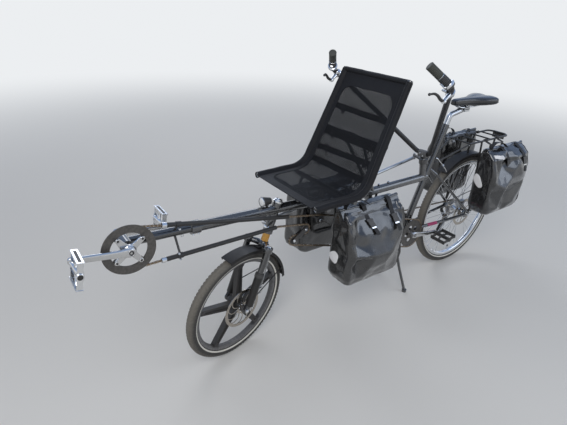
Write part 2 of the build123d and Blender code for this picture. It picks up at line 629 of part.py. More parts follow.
def pedal(bb, tilt, side, upright):
    """Cage pedal with two windows on its spindle, turned to how it hangs."""
    end = crank_end(bb, tilt)
    middle_y = CRANK_Y + CRANK_T + PEDAL_WIDE / 2
    spindle_w = PEDAL_WIDE + 24
    spindle = disc(end[0], side * (middle_y - 9), end[1], SPINDLE_R, spindle_w)
    window = PEDAL_LONG / 2 - 24
    cage = Box(PEDAL_LONG, PEDAL_WIDE, PEDAL_THICK)
    for way in (1, -1):
        cage -= Pos(way * (PEDAL_LONG / 4 + 5), 0, 0) * Box(window, PEDAL_WIDE - 2 * PEDAL_RIM, 80)
    return spindle + Pos(end[0], side * middle_y, end[1]) * Rot(0, upright, 0) * cage


def bolt_places():
    """Where the front ring is bolted to its spider."""
    turns = [math.radians(45 + 90 * i + FRONT_CRANK_TILT) for i in range(4)]
    return [(FRONT_BB[0] + BOLT_R * math.cos(a), FRONT_BB[1] + BOLT_R * math.sin(a)) for a in turns]


front_cranks = crankset(FRONT_BB, FRONT_CRANK_TILT)
spider_y = CHAIN_Y + TOOTH_W / 2 + 5 + SPIDER_W / 2
guard_y = CHAIN_Y + TOOTH_W / 2 + 3.4
guard_t = 3.2
ring_face = Pos(*FRONT_BB) * (toothed(FRONT_RING_R) - Circle(RING_WINDOW))
guard_face = Pos(*FRONT_BB) * (Circle(GUARD_R) - Circle(RING_WINDOW))
for place in bolt_places():
    front_cranks += plate(link(FRONT_BB, 14, place, 8), spider_y, SPIDER_W)
    ring_face += Pos(*place) * Circle(9)
    guard_face += Pos(*place) * Circle(9)
front_cranks += disc(FRONT_BB[0], CHAIN_Y + 14, FRONT_BB[1], 17, 20)
node("front_crankset", front_cranks)
front_ring = plate(ring_face, CHAIN_Y, TOOTH_W) + plate(guard_face, guard_y, guard_t)
for place in bolt_places():
    front_ring += disc(place[0], (CHAIN_Y + guard_y) / 2, place[1], 7, guard_y - CHAIN_Y)
node("front_chainring", front_ring)
node("rear_crankset", crankset(REAR_BB, 180 + REAR_CRANK_TILT))
rear_rings = []
for y, r in ((CHAIN_Y, REAR_RING_R), (DRIVE_Y, DRIVE_RING_R)):
    face = toothed(r) - Circle(CRANK_AXLE_R + FIT_GAP)
    for i in range(5):
        face -= Rot(0, 0, 72 * i) * Pos(r / 2 - 4, 0) * Circle(r * 0.17)
    rear_rings.append(plate(Pos(*REAR_BB) * face, y, TOOTH_W))
node("rear_chainrings", *rear_rings)
PEDALS = (  # name, bottom bracket, crank angle, side, how far the pedal is turned
    ("front_left_pedal", FRONT_BB, FRONT_CRANK_TILT, 1, 80),
    ("front_right_pedal", FRONT_BB, FRONT_CRANK_TILT + 180, -1, 80),
    ("rear_left_pedal", REAR_BB, REAR_CRANK_TILT + 180, 1, 10),
    ("rear_right_pedal", REAR_BB, REAR_CRANK_TILT, -1, 10),
)
for name, bb, tilt, side, upright in PEDALS:
    node(name, pedal(bb, tilt, side, upright))

# Chains, the tubes that the upper and lower runs pass through, and what guides them
timing = [
    (*FRONT_BB, FRONT_RING_R, 1), (*IDLER, PULLEY_R, 1), (*REAR_BB, REAR_RING_R, 1),
    (*TENSION[0], PULLEY_R, 1), (*TENSION[1], PULLEY_R, -1), (*MOUTH_PULLEY, MOUTH_PULLEY_R, -1),
]
node("timing_chain", chain(timing, CHAIN_Y))
drive = [
    (*REAR_BB, DRIVE_RING_R, 1), (*REAR_AXLE, DRIVEN_R, 1),
    (*DERAILLEUR[0], PULLEY_R, -1), (*DERAILLEUR[1], PULLEY_R, 1),
]
node("drive_chain", chain(drive, DRIVE_Y))
upper = tangent(timing[0], timing[1], 0)
lower = tangent(timing[5], timing[0], 0)


def on_run(run, x):
    (x0, z0), (x1, z1) = run
    return (x, CHAIN_Y, z0 + (x - x0) * (z1 - z0) / (x1 - x0))


TUBE_RUNS = (  # run, front end, rear end
    (upper, FRONT_BB[0] - 114, FRONT_BB[0] - 628),
    (lower, FRONT_BB[0] - 104, FRONT_BB[0] - 571),
)
hanger_x = FRONT_BB[0] - 171
tube_outer = TUBE_BORE + TUBE_WALL
held = joined([rod(on_run(run, near), on_run(run, far), tube_outer) for run, near, far in TUBE_RUNS])
for run, near, far in TUBE_RUNS:
    held += rod(on_run(run, hanger_x - 9), on_run(run, hanger_x + 9), tube_outer + 2)
    held += rod(boom_point(hanger_x), on_run(run, hanger_x), 4)
for run, near, far in TUBE_RUNS:
    held -= rod(on_run(run, near + 5), on_run(run, far - 5), TUBE_BORE)
held -= rod(boom_point(FRONT_BB[0]), boom_inner, BOOM_R)
node("chain_tubes", *held.solids())


def pulley(x, z, y):
    return disc(x, y, z, PULLEY_R - CHAIN_H / 2, PULLEY_W)


under_tube = TUBE_Z + 6
idler_arm = rod((IDLER[0], 0, IDLER[1]), (IDLER[0], CHAIN_Y + 10, IDLER[1]), 6)
idler_arm += rod((IDLER[0], 0, IDLER[1]), (IDLER[0], 0, under_tube), 9)
node("chain_idler", pulley(*IDLER, CHAIN_Y) + biggest(idler_arm - main_tube))
tensioner = joined([pulley(x, z, CHAIN_Y) + disc(x, CHAIN_Y, z, 5, 16) for x, z in TENSION])
for y in (CHAIN_Y - 7, CHAIN_Y + 7):
    tensioner += plate(link(TENSION[0], 9, TENSION[1], 12), y, 3)
arm_x, arm_z = TENSION[1]
tensioner += rod((arm_x, 0, arm_z), (arm_x, CHAIN_Y - 6, arm_z), 7)
node("chain_tensioner", tensioner + biggest(rod((arm_x, 0, arm_z), (arm_x, 0, under_tube), 8) - main_tube))
mech = joined([pulley(x, z, DRIVE_Y) + disc(x, DRIVE_Y, z, 4, 16) for x, z in DERAILLEUR])
for y in (DRIVE_Y - 7, DRIVE_Y + 7):
    mech += plate(link(DERAILLEUR[0], 11, DERAILLEUR[1], 9), y, 2.5)
body_at = (8, -DROPOUT_Y - 17, REAR_WHEEL_R - 40)
hung_at = (12, -DROPOUT_Y - 17, REAR_WHEEL_R - 17)
mech += rod((DERAILLEUR[0][0], DRIVE_Y - 6, DERAILLEUR[0][1]), body_at, 9)
mech += rod(body_at, hung_at, 8) + disc(12, -DROPOUT_Y - 12, REAR_WHEEL_R - 17, 6, 10)
mech -= box(-40, 60, -DROPOUT_Y - 7, -DROPOUT_Y - 1, REAR_WHEEL_R - 25, REAR_WHEEL_R + 30)
node("rear_derailleur", mech - disc(0, -DROPOUT_Y, REAR_WHEEL_R, NUT_R + 1, 60))

# Seat
seat_line = (SEAT_FRONT, SEAT_BEND, SEAT_TOP)
seat_rails = [bent([flip(p, side) for p in seat_line], SEAT_BEND_R, SEAT_RAIL_R) for side in (1, -1)]
node("seat_rails", *seat_rails)
all_rails = joined(seat_rails)


def back_point(share, y):
    """Place in the plane of the seat's back, a share of the way up it."""
    x = SEAT_BEND[0] + share * (SEAT_TOP[0] - SEAT_BEND[0])
    return (x, y, SEAT_BEND[2] + share * (SEAT_TOP[2] - SEAT_BEND[2]))


crossbars = []
for share, y, behind in ((TOP_BAR_SHARE, 181, 0), (LOW_BAR_SHARE, 194, BAR_BEHIND)):
    x, _, z = back_point(share, 0)
    crossbars.append(biggest(rod((x - behind, -y, z), (x - behind, y, z), 9) - all_rails))
node("seat_crossbars", *crossbars)
mount_z = SEAT_FRONT[2] - SEAT_RAIL_R - SEAT_MOUNT_R + 3
mounts = []
for x in SEAT_MOUNTS_X:
    bar = rod((x, -200, mount_z), (x, 200, mount_z), SEAT_MOUNT_R)
    bar += rod((x, 0, mount_z), (x, 0, TUBE_Z - 14), SEAT_MOUNT_R + 2.5)
    mounts.append(biggest(bar - main_tube) - all_rails)
for side in (1, -1):
    x, _, z = back_point(LOW_BAR_SHARE, 0)
    strut = rod((x - BAR_BEHIND, side * 60, z), flip(SEAT_STRUT_FOOT, side), SEAT_STRUT_R)
    mounts.append(biggest(strut - main_tube - crossbars[1]))
node("seat_mounts", *mounts)
sling_line = [(SEAT_FRONT[0] - 8, SEAT_FRONT[2] - 1), (SEAT_BEND[0], SEAT_BEND[2])]
sling_line.append((SEAT_TOP[0] + 9, SEAT_TOP[2] - 20))
sling = Rot(90, 0, 0) * extrude(trace(FilletPolyline(*sling_line, radius=SEAT_BEND_R), SLING), 230, both=True)
low_y = SEAT_FRONT[1] - SEAT_RAIL_R - 0.5
high_y = SEAT_TOP[1] - SEAT_RAIL_R - 0.5
half_front = [(low_y, TUBE_Z + 6), (low_y, TUBE_Z + 86), (high_y, TUBE_Z + 516)]
front_view = Polygon(*half_front, *[(-y, z) for y, z in reversed(half_front)], align=None)
prism = Pos(SEAT_FRONT[0] + 468, 0, 0) * Rot(90, 0, 0) * Rot(0, -90, 0) * extrude(front_view, 1400)
node("seat_sling", sling & prism)

# Rear rack with the plate for a rear light
left_side = [(RACK_FRONT_X, RACK_HALF, RACK_Z), (RACK_REAR_X, RACK_HALF, RACK_Z)]
rack = bent(left_side + [flip(p, -1) for p in reversed(left_side)], 30, RACK_R)
for x in (100.0, 10.0, -80.0, -170.0):
    rack += rod((x, -RACK_HALF, RACK_Z), (x, RACK_HALF, RACK_Z), RACK_R - 1)
strut_z = RACK_Z - 80
for side in (1, -1):
    for x in (0.0, -120.0):
        foot = (-4, side * (DROPOUT_Y + 12.4), REAR_WHEEL_R + 19)
        rack += rod((x, side * RACK_HALF, RACK_Z), foot, RACK_R)
    strut_end = (seat_tube_x(strut_z) - 14, side * 19, strut_z)
    rack += rod((RACK_FRONT_X - 5, side * RACK_HALF, RACK_Z), strut_end, RACK_R - 1)
for drop in dropouts:
    rack -= drop
light_z = RACK_Z - 20
rack += box(RACK_REAR_X - 8, RACK_REAR_X - 2, -34, 34, light_z - 12, RACK_Z + 4)
for y in (-LIGHT_HOLES / 2, LIGHT_HOLES / 2):
    rack -= rod((RACK_REAR_X - 20, y, light_z), (RACK_REAR_X + 10, y, light_z), LIGHT_HOLE_R)
rack = biggest(rack - seat_tube_body)
node("rear_rack", rack)

# Panniers, from the rear cranks' sweep to the front wheel's, and the carrier that the front ones hang on
front_bag_x = (REAR_BB[0] + CRANK + 127.0, WHEELBASE - 407.0)
front_bag_long = front_bag_x[1] - front_bag_x[0]
CROSSBAR_SHARES = (0.448, 0.789)
HOOK_SHARES = (0.298, 0.646)
hoop_foot = CARRIER_Z - 241


def along_bag(share):
    """Place along the front bags, a share of the way from their rear end."""
    return front_bag_x[0] + share * front_bag_long


rail_ends = (along_bag(0.1234), along_bag(0.9838))
hoop_line = [
    (along_bag(0.1558), CARRIER_Z), (along_bag(0.2532), hoop_foot),
    (along_bag(0.8052), hoop_foot), (along_bag(0.9513), CARRIER_Z),
]
hoops = []
for y in (CARRIER_Y, -CARRIER_Y):
    hoops.append(rod((rail_ends[0], y, CARRIER_Z), (rail_ends[1], y, CARRIER_Z), CARRIER_RAIL_R))
    hoops.append(bent([(x, y, z) for x, z in hoop_line], 0.13 * front_bag_long, RACK_R))
for share in CROSSBAR_SHARES:
    x = along_bag(share)
    hoops.append(rod((x, -CARRIER_Y, CARRIER_Z), (x, CARRIER_Y, CARRIER_Z), RACK_R + 1))
    hoops.append(rod((x, 0, CARRIER_Z), (x, 0, TUBE_Z - 34), 9))
node("front_carrier", biggest(joined(hoops) - main_tube))


def bag(ends, faces, heights, rail, side):
    """Pannier box with two hooks round its rail."""
    (x0, x1), (y0, y1), (z0, z1), (rail_y, rail_z, rail_r) = ends, faces, heights, rail
    shape = fillet(box(x0, x1, y0, y1, z0, z1).edges().filter_by(Axis.Y), 28)
    shape = fillet(shape.faces().sort_by(Axis.Y)[-1].edges(), 22)
    hook_top = rail_z + rail_r + 6
    for share in HOOK_SHARES:
        x = x0 + share * (x1 - x0)
        shape += box(x - 11, x + 11, rail_y - rail_r - 5, y0 + 3, rail_z - 3, hook_top)
        shape += box(x - 11, x + 11, y0 - 4, y0 + 3, z1 - 70, hook_top)
    shape -= rod((x0 - 20, rail_y, rail_z), (x1 + 20, rail_y, rail_z), rail_r + RUN_GAP)
    return shape if side > 0 else mirror(shape, Plane.XZ)


PANNIERS = (  # name, ends in x, faces in y, heights, rail's y, z and radius
    ("front", front_bag_x, (CARRIER_Y + BAG_GAP, 236), (CARRIER_Z - 341, CARRIER_Z + 7),
     (CARRIER_Y, CARRIER_Z, CARRIER_RAIL_R)),
    ("rear", (-225, 72), (DROPOUT_Y + 27, 225), (RACK_Z - 367, RACK_Z - 6), (RACK_HALF, RACK_Z, RACK_R)),
)
for name, *sizes in PANNIERS:
    for side, word in ((1, "left"), (-1, "right")):
        node(f"{name}_{word}_pannier", bag(*sizes, side))

# Rear mudguard, hung from the rack
rear_guard_r = REAR_WHEEL_R + GUARD_CLEAR + 4
rear_guard = guard_arc(rear_guard_r, 56, 14, 52, 140, REAR_AXLE)
rear_guard += rod((10, 0, REAR_WHEEL_R + rear_guard_r), (10, 0, RACK_Z), 4)
for side in (1, -1):
    for angle in (118, 165):
        edge = round_wheel(REAR_AXLE, angle, rear_guard_r - 6, side * 29)
        rear_guard += rod(edge, (-15, side * (DROPOUT_Y + 11), REAR_WHEEL_R + 10), GUARD_STAY_R)
node("rear_mudguard", biggest(rear_guard - rack))
caliper = caliper_body(40, REAR_WHEEL_R + 63, 44, 42, REAR_ROTOR_Y, REAR_AXLE, REAR_ROTOR_R)
foot_z = REAR_WHEEL_R + 54
caliper += box(34, 56, REAR_ROTOR_Y + 6, REAR_ROTOR_Y + 20, foot_z, foot_z + 18)
node("rear_caliper", biggest(caliper - high_stays[0]))

# Lamp on its post
lamp = rod((LAMP[0] - 24, 0, LAMP[1] - 2), (LAMP[0] + 16, 0, LAMP[1] + 2), 13, 20)
lamp += rod((LAMP[0] - 10, 0, LAMP[1]), (LAMP[0] - 10, 0, under_tube), 5)
node("headlamp", biggest(lamp - main_tube))

# Stand, folding forward and up
px, pz = STAND_PIVOT
ear = STAND_EAR_Y
bracket = box(px - 16, px + 16, -ear - 3, ear + 3, pz + 19, pz + 100)
for y in (ear, -ear):
    bracket += box(px - 9, px + 9, y - 3, y + 3, pz - 8, pz + 30)
bracket += disc(px, 0, pz, STAND_PIN_R, 2 * ear + 6)
bracket -= rear_shell
bracket -= rod((TUBE_DIP[0] - 20, 0, TUBE_DIP[1]), (REAR_BB[0], 0, REAR_BB[1]), DOWN_TUBE_R)
node("stand_bracket", min(bracket.solids(), key=lambda s: s.center().Z))
legs = ring(px, 0, pz, 13, STAND_PIN_R + RUN_GAP, 31)
foot_x, foot_y = STAND_FOOT
for side in (1, -1):
    leg_line = [(px - 1, 7, pz - 9), (494, 53, 130), (foot_x, foot_y, 8)]
    legs += bent([flip(p, side) for p in leg_line], 40, STAND_LEG_R)
    legs += rod((foot_x, side * foot_y, 0), (foot_x, side * foot_y, 14), 12)
node("stand_legs", legs - disc(px, 0, pz, STAND_PIN_R + RUN_GAP, 60))

# Handlebar with grips and brake levers
corner = Vector(*BAR_CORNER)
bar_root = (bar_point(BAR_Z)[0], 34, BAR_Z + 4)
half_bar = [bar_root, BAR_CORNER, BAR_END]
bar_line = [flip(p, -1) for p in reversed(half_bar)] + half_bar
bar = bent(bar_line, 30, BAR_TUBE_R)
node("handlebar", steer_bar(bar))
grip_dir = (Vector(*BAR_END) - corner).normalized()
arm_dir = (corner - Vector(*bar_root)).normalized()


def before(length):
    """Place on the bar's arm, a length before its corner."""
    return tuple(corner - arm_dir * length)


def beyond(length):
    """Place on the grip, a length past the corner."""
    return tuple(corner + grip_dir * length)


grips = []
levers = []
for side in (1, -1):
    pivot = (before(33)[0] + 18, before(33)[1] + 2, before(33)[2] + 6)
    lever = rod(flip(before(44), side), flip(before(22), side), GRIP_R)
    lever += rod(flip(before(33), side), flip(pivot, side), 9)
    lever += rod(flip(pivot, side), flip(BLADE_TIP, side), 6, 4.5)
    lever -= rod(flip(before(104), side), flip(before(-18), side), BAR_TUBE_R + CLAMP_GAP)
    levers.append(steer_bar(biggest(lever - bar)))
    grip = rod(flip(beyond(GRIP_START), side), flip(beyond(GRIP_START + GRIP_LENGTH), side), GRIP_R)
    grip -= rod(flip(beyond(-5), side), flip(BAR_END, side), BAR_TUBE_R + CLAMP_GAP)
    grips.append(steer_bar(grip))
node("bar_grips", *grips)
node("brake_levers", *levers)

# Stem with the lever that works the steering rod
stem = rod(bar_point(LEVER_Z + 10), bar_point(BAR_Z), 15)
stem += rod(bar_point(BAR_Z, -22), bar_point(BAR_Z, 22), 19)
stem += rod(bar_point(LEVER_Z - 11), bar_point(LEVER_Z + 12), STEER_ARM_R)
stem += rod(bar_point(BAR_FOOT_Z), bar_point(LEVER_Z), STEERER_R)
stem -= rod(bar_point(BAR_Z, -40), bar_point(BAR_Z, 40), BAR_TUBE_R)
stem = biggest(steer_bar(stem - bar))
hub_x = bar_point(LEVER_Z)[0]
pin_b = (hub_x + LEVER_B[0], LEVER_B[1], LEVER_Z)
stem += rod((hub_x + LEVER_B[0] * 0.2, LEVER_B[1] * 0.2, LEVER_Z), pin_b, 7)
stem -= rod((pin_b[0], pin_b[1], LEVER_Z - 20), (pin_b[0], pin_b[1], LEVER_Z + 20), ROD_PIN_R + RUN_GAP)
node("bar_stem", stem)

# Steering rod: a pin up through the stem's lever, an eye round the fork's pin
rod_a = (pin_b[0], pin_b[1], pin_b[2] - 14)
rod_b = (pin_f[0], pin_f[1], pin_f[2] + 15)
along = (Vector(*rod_b) - Vector(*rod_a)).normalized()
steering_rod = rod(tuple(Vector(*rod_a) + along * 8), tuple(Vector(*rod_b) - along * 13), ROD_R)
for top, r in ((-8.5, 10), (10, ROD_PIN_R)):
    steering_rod += rod((pin_b[0], pin_b[1], pin_b[2] - 20), (pin_b[0], pin_b[1], pin_b[2] + top), r)
steering_rod += rod((rod_b[0], rod_b[1], rod_b[2] - 5), (rod_b[0], rod_b[1], rod_b[2] + 5), 16)
steering_rod -= rod((rod_b[0], rod_b[1], rod_b[2] - 12), (rod_b[0], rod_b[1], rod_b[2] + 12), 11)
node("steering_rod", steering_rod)
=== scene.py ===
import math
import bpy
from bpy.props import FloatProperty, FloatVectorProperty, IntProperty, PointerProperty
from mathutils import Matrix, Vector, geometry, noise


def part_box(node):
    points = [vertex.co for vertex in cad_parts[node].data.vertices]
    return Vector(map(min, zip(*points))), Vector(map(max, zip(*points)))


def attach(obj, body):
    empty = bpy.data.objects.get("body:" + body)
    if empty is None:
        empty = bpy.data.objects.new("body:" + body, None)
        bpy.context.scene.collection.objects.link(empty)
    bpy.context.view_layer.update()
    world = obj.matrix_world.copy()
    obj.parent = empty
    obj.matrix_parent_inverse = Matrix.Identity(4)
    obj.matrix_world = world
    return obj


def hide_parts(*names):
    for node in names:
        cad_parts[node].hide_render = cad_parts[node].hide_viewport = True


bl_info = {
    "name": "Semi-recumbent tandem dressing",
    "version": (1, 0, 0),
    "blender": (4, 5, 0),
    "location": "View3D > Sidebar > Tandem",
    "description": "Dresses the frame of a semi-recumbent tandem bicycle",
    "category": "Object",
}

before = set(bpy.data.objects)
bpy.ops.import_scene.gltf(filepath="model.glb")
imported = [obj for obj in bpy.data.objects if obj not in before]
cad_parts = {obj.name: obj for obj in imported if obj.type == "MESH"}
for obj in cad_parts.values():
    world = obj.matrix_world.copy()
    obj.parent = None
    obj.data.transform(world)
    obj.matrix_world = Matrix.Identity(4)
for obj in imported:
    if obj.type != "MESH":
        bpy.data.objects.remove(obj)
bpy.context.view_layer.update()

# Places are in millimetres from the floor under the rear axle: x forward, y left, z up
RIM_LOW, RIM_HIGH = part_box("rear_rim")
REAR_MIDDLE = (RIM_LOW + RIM_HIGH) / 2
TO_ROW = Matrix.Translation((REAR_MIDDLE.x, REAR_MIDDLE.y, 0)) @ Matrix.Scale(0.001, 4)
UP = Vector((0, 0, 1))
ACROSS = Vector((0, 1, 0))
FORWARD = Vector((1, 0, 0))


def turned(place, axis, degrees):
    """A turn about an axis through a place."""
    there = Matrix.Translation(place)
    return there @ Matrix.Rotation(math.radians(degrees), 4, Vector(axis)) @ there.inverted()


HEAD_FOOT = Vector((1419.412, 0, 236.319))
HEAD_AXIS = Vector((-0.342020, 0, 0.939693))
HEAD_FORWARD = Vector((0.939693, 0, 0.342020))
BAR_AXIS = Vector((0.199368, 0, 0.979925))
STEER = turned(HEAD_FOOT, HEAD_AXIS, 13.0)
BARS = turned((384.965, 0, 690), BAR_AXIS, 6.3)
STRAIGHT = Matrix.Identity(4)
REAR_HUB = Vector((0, 0, 330))
FRONT_HUB = Vector((1457, 0, 250))
CHAIN_Y = 50.0
DRIVE_Y = -43.2
LINK = 12.7
TIMING = (  # x, z, radius and turn of each wheel that the timing chain passes, in order of travel
    (1871, 660, 76.8, 1), (1078, 562, 22, 1), (443, 318, 78, 1),
    (1211, 501, 22, 1), (1153, 537, 22, -1), (1290, 560, 24, -1),
)
DRIVE = ((443, 318, 85, 1), (0, 330, 40, 1), (18, 262, 22, -1), (62, 196, 22, 1))


def head(t, forward=0.0, y=0.0):
    """A place at a length along the steering axis, in front of it and to its left."""
    return HEAD_FOOT + HEAD_AXIS * t + HEAD_FORWARD * forward + ACROSS * y


def bar_x(z):
    return 387 + (z - 700) * 0.20345


# Shapes
class Form:
    """The points and faces of one piece, in millimetres."""

    def __init__(self, matrix=STRAIGHT):
        self.matrix = matrix
        self.points = []
        self.faces = []
        self.paint = []

    def add(self, points, faces, paint=0):
        first = len(self.points)
        self.points += [self.matrix @ Vector(p) for p in points]
        self.faces += [tuple(first + i for i in face) for face in faces]
        self.paint += [paint] * len(faces)

    def ends(self, rows, paint=0):
        """Flat ends on the first and the last row."""
        count = len(rows[0])
        self.add(rows[0], [tuple(reversed(range(count)))], paint)
        self.add(rows[-1], [tuple(range(count))], paint)

    def grid(self, rows, closed=False, ring=False, paint=0):
        """A sheet from rows of points. closed joins a row's ends, ring the last row to the first."""
        wide, high = len(rows[0]), len(rows)
        faces = []
        for j in range(high if ring else high - 1):
            k = (j + 1) % high
            for i in range(wide if closed else wide - 1):
                n = (i + 1) % wide
                faces.append((j * wide + i, j * wide + n, k * wide + n, k * wide + i))
        self.add([p for row in rows for p in row], faces, paint)

    def tube(self, line, radius, sides=12, capped=True, paint=0, flat=1.0):
        """A round or flattened bar along a line of points."""
        line = [Vector(p) for p in line]
        radii = list(radius) if hasattr(radius, "__len__") else [radius] * len(line)
        aims = []
        for i in range(len(line)):
            aims.append((line[min(i + 1, len(line) - 1)] - line[max(i - 1, 0)]).normalized())
        side = aims[0].orthogonal().normalized()
        rows = []
        for i, point in enumerate(line):
            if i:
                side = (aims[i - 1].rotation_difference(aims[i]) @ side).normalized()
            up = aims[i].cross(side)
            row = []
            for k in range(sides):
                a = 2 * math.pi * k / sides
                row.append(point + side * (radii[i] * math.cos(a)) + up * (radii[i] * flat * math.sin(a)))
            rows.append(row)
        self.grid(rows, closed=True, paint=paint)
        if capped:
            self.ends(rows, paint)

    def lathe(self, profile, centre, axis, steps=48, closed=False, paint=0, capped=True):
        """A turned shape: each profile point is a radius and a length along the axis."""
        centre, axis = Vector(centre), Vector(axis).normalized()
        side = axis.orthogonal().normalized()
        up = axis.cross(side)
        rows = []
        for radius, along in profile:
            row = []
            for k in range(steps):
                a = 2 * math.pi * k / steps
                row.append(centre + axis * along + (side * math.cos(a) + up * math.sin(a)) * radius)
            rows.append(row)
        self.grid(rows, closed=True, ring=closed, paint=paint)
        if capped and not closed:
            self.ends(rows, paint)

    def loft(self, stations, count=20, power=3.2, paint=0):
        """A bar through stations, each a centre and its half width and half height as vectors."""
        rows = []
        for centre, wide, high in stations:
            row = []
            for k in range(count):
                a = 2 * math.pi * (k + 0.5) / count
                c, n = math.cos(a), math.sin(a)
                row.append(Vector(centre) + Vector(wide) * math.copysign(abs(c) ** (2 / power), c)
                           + Vector(high) * math.copysign(abs(n) ** (2 / power), n))
            rows.append(row)
        self.grid(rows, closed=True, paint=paint)
        self.ends(rows, paint)

    def block(self, centre, along, across, sizes, taper=1.0, paint=0):
        """A block with its top a little narrower. Sizes are along, across and high."""
        centre = Vector(centre)
        along = Vector(along).normalized()
        across = Vector(across).normalized()
        high = along.cross(across).normalized()
        long, wide, tall = sizes
        points = []
        for level, share in ((-0.5, 1.0), (0.5, taper)):
            for a, b in ((-0.5, -0.5), (0.5, -0.5), (0.5, 0.5), (-0.5, 0.5)):
                flat = centre + along * (a * share * long) + across * (b * share * wide)
                points.append(flat + high * (level * tall))
        faces = [(3, 2, 1, 0), (4, 5, 6, 7), (0, 1, 5, 4), (1, 2, 6, 5), (2, 3, 7, 6), (3, 0, 4, 7)]
        self.add(points, faces, paint)

    def plate(self, outline, across, thick, paint=0):
        """A flat plate from an outline of points, thick both ways across."""
        across = Vector(across).normalized() * (thick / 2)
        count = len(outline)
        front = [Vector(p) + across for p in outline]
        back = [Vector(p) - across for p in outline]
        faces = [tuple(range(count)), tuple(reversed(range(count, 2 * count)))]
        for i in range(count):
            n = (i + 1) % count
            faces.append((i, count + i, count + n, n))
        self.add(front + back, faces, paint)

    def ball(self, centre, radius, paint=0):
        """A round knob."""
        profile = []
        for k in range(1, 10):
            a = math.pi * k / 10
            profile.append((radius * math.sin(a), -radius * math.cos(a)))
        self.lathe(profile, centre, UP, 20, paint=paint)

    def bolt(self, centre, axis, radius=4.0, height=3.5, paint=0):
        """A socket-head bolt with a rounded rim and a recess."""
        profile = (
            (radius, -1.0), (radius, height * 0.75), (radius * 0.86, height),
            (radius * 0.55, height), (radius * 0.5, height * 0.35),
        )
        self.lathe(profile, centre, axis, 18, paint=paint)

    def nut(self, centre, axis, radius=8.0, height=6.0, paint=0):
        """A six-sided nut with a washer."""
        washer = ((radius * 1.25, -0.2), (radius * 1.25, 1.2), (radius * 1.2, 1.5))
        self.lathe(washer, centre, axis, 24, paint=paint)
        flats = ((radius, 1.2), (radius, height - 1), (radius * 0.9, height))
        self.lathe(flats, centre, axis, 6, paint=paint)

    def make(self, name, body, materials, slot, replaces=(), smooth=38.0, bevel=0.0, subdivide=0):
        """The finished piece, riding on its body."""
        mesh = bpy.data.meshes.new(name)
        mesh.from_pydata([TO_ROW @ p for p in self.points], [], self.faces)
        mesh.validate()
        names = [materials] if isinstance(materials, str) else list(materials)
        for material in names:
            mesh.materials.append(FINISH[material])
        if len(names) > 1:
            for polygon, paint in zip(mesh.polygons, self.paint):
                polygon.material_index = paint
        mesh.shade_smooth()
        mesh.set_sharp_from_angle(angle=math.radians(smooth))
        piece = bpy.data.objects.new(name, mesh)
        bpy.context.scene.collection.objects.link(piece)
        if bevel:
            edge = piece.modifiers.new("edge", "BEVEL")
            edge.width = bevel / 1000
            edge.segments = 2
            edge.limit_method = "ANGLE"
            edge.angle_limit = math.radians(40)
            edge.harden_normals = True
        if subdivide:
            finer = piece.modifiers.new("finer", "SUBSURF")
            finer.levels = finer.render_levels = subdivide
        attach(piece, body)
        if replaces:
            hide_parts(*replaces)
        return piece


def smooth_line(points, steps=6):
    """A curve through the points."""
    points = [Vector(p) for p in points]
    ends = [points[0] * 2 - points[1]] + points + [points[-1] * 2 - points[-2]]
    line = []
    for i in range(1, len(ends) - 2):
        a, b, c, d = ends[i - 1:i + 3]
        for k in range(steps):
            t = k / steps
            line.append(0.5 * ((2 * b) + (c - a) * t + (2 * a - 5 * b + 4 * c - d) * t * t
                               + (3 * b - a - 3 * c + d) * t ** 3))
    line.append(points[-1])
    return line


def run_between(c0, c1):
    """The straight run of a chain between two wheels."""
    (x0, z0, r0, s0), (x1, z1, r1, s1) = c0, c1
    a0, a1 = s0 * r0, s1 * r1
    heading = math.atan2(z1 - z0, x1 - x0) + math.asin((a0 - a1) / math.hypot(x1 - x0, z1 - z0))
    u = (math.cos(heading - math.pi / 2), math.sin(heading - math.pi / 2))
    return (x0 + a0 * u[0], z0 + a0 * u[1]), (x1 + a1 * u[0], z1 + a1 * u[1])


def chain_line(circles, pitch):
    """Points of a chain at equal steps round its wheels."""
    count = len(circles)
    runs = [run_between(circles[i], circles[(i + 1) % count]) for i in range(count)]
    line = []
    for i, (x, z, r, s) in enumerate(circles):
        arrive, leave = runs[i - 1][1], runs[i][0]
        start = math.atan2(arrive[1] - z, arrive[0] - x)
        end = math.atan2(leave[1] - z, leave[0] - x)
        turn = (end - start) * s % (2 * math.pi)
        for k in range(40):
            a = start + s * turn * k / 40
            line.append(Vector((x + r * math.cos(a), z + r * math.sin(a))))
        (ax, az), (bx, bz) = runs[i]
        for k in range(40):
            line.append(Vector((ax + (bx - ax) * k / 40, az + (bz - az) * k / 40)))
    line.append(line[0].copy())
    lengths = [0.0]
    for a, b in zip(line, line[1:]):
        lengths.append(lengths[-1] + (b - a).length)
    links = round(lengths[-1] / pitch / 2) * 2
    points, i = [], 0
    for k in range(links):
        want = lengths[-1] * k / links
        while lengths[i + 1] < want:
            i += 1
        share = (want - lengths[i]) / (lengths[i + 1] - lengths[i] or 1)
        points.append(line[i].lerp(line[i + 1], share))
    return points


# Finishes
FINISH = {}


def socket_of(tree, where, name, kind, default=None):
    """One socket of a node group."""
    made = tree.interface.new_socket(name, in_out=where, socket_type=kind)
    if default is not None:
        made.default_value = default
    return made


def new_group(name, inputs, outputs):
    """An empty node group with its sockets, and its two end nodes."""
    tree = bpy.data.node_groups.new(name, "ShaderNodeTree")
    for label, kind, default in inputs:
        socket_of(tree, "INPUT", label, kind, default)
    for label, kind in outputs:
        socket_of(tree, "OUTPUT", label, kind)
    return tree, tree.nodes.new("NodeGroupInput"), tree.nodes.new("NodeGroupOutput")


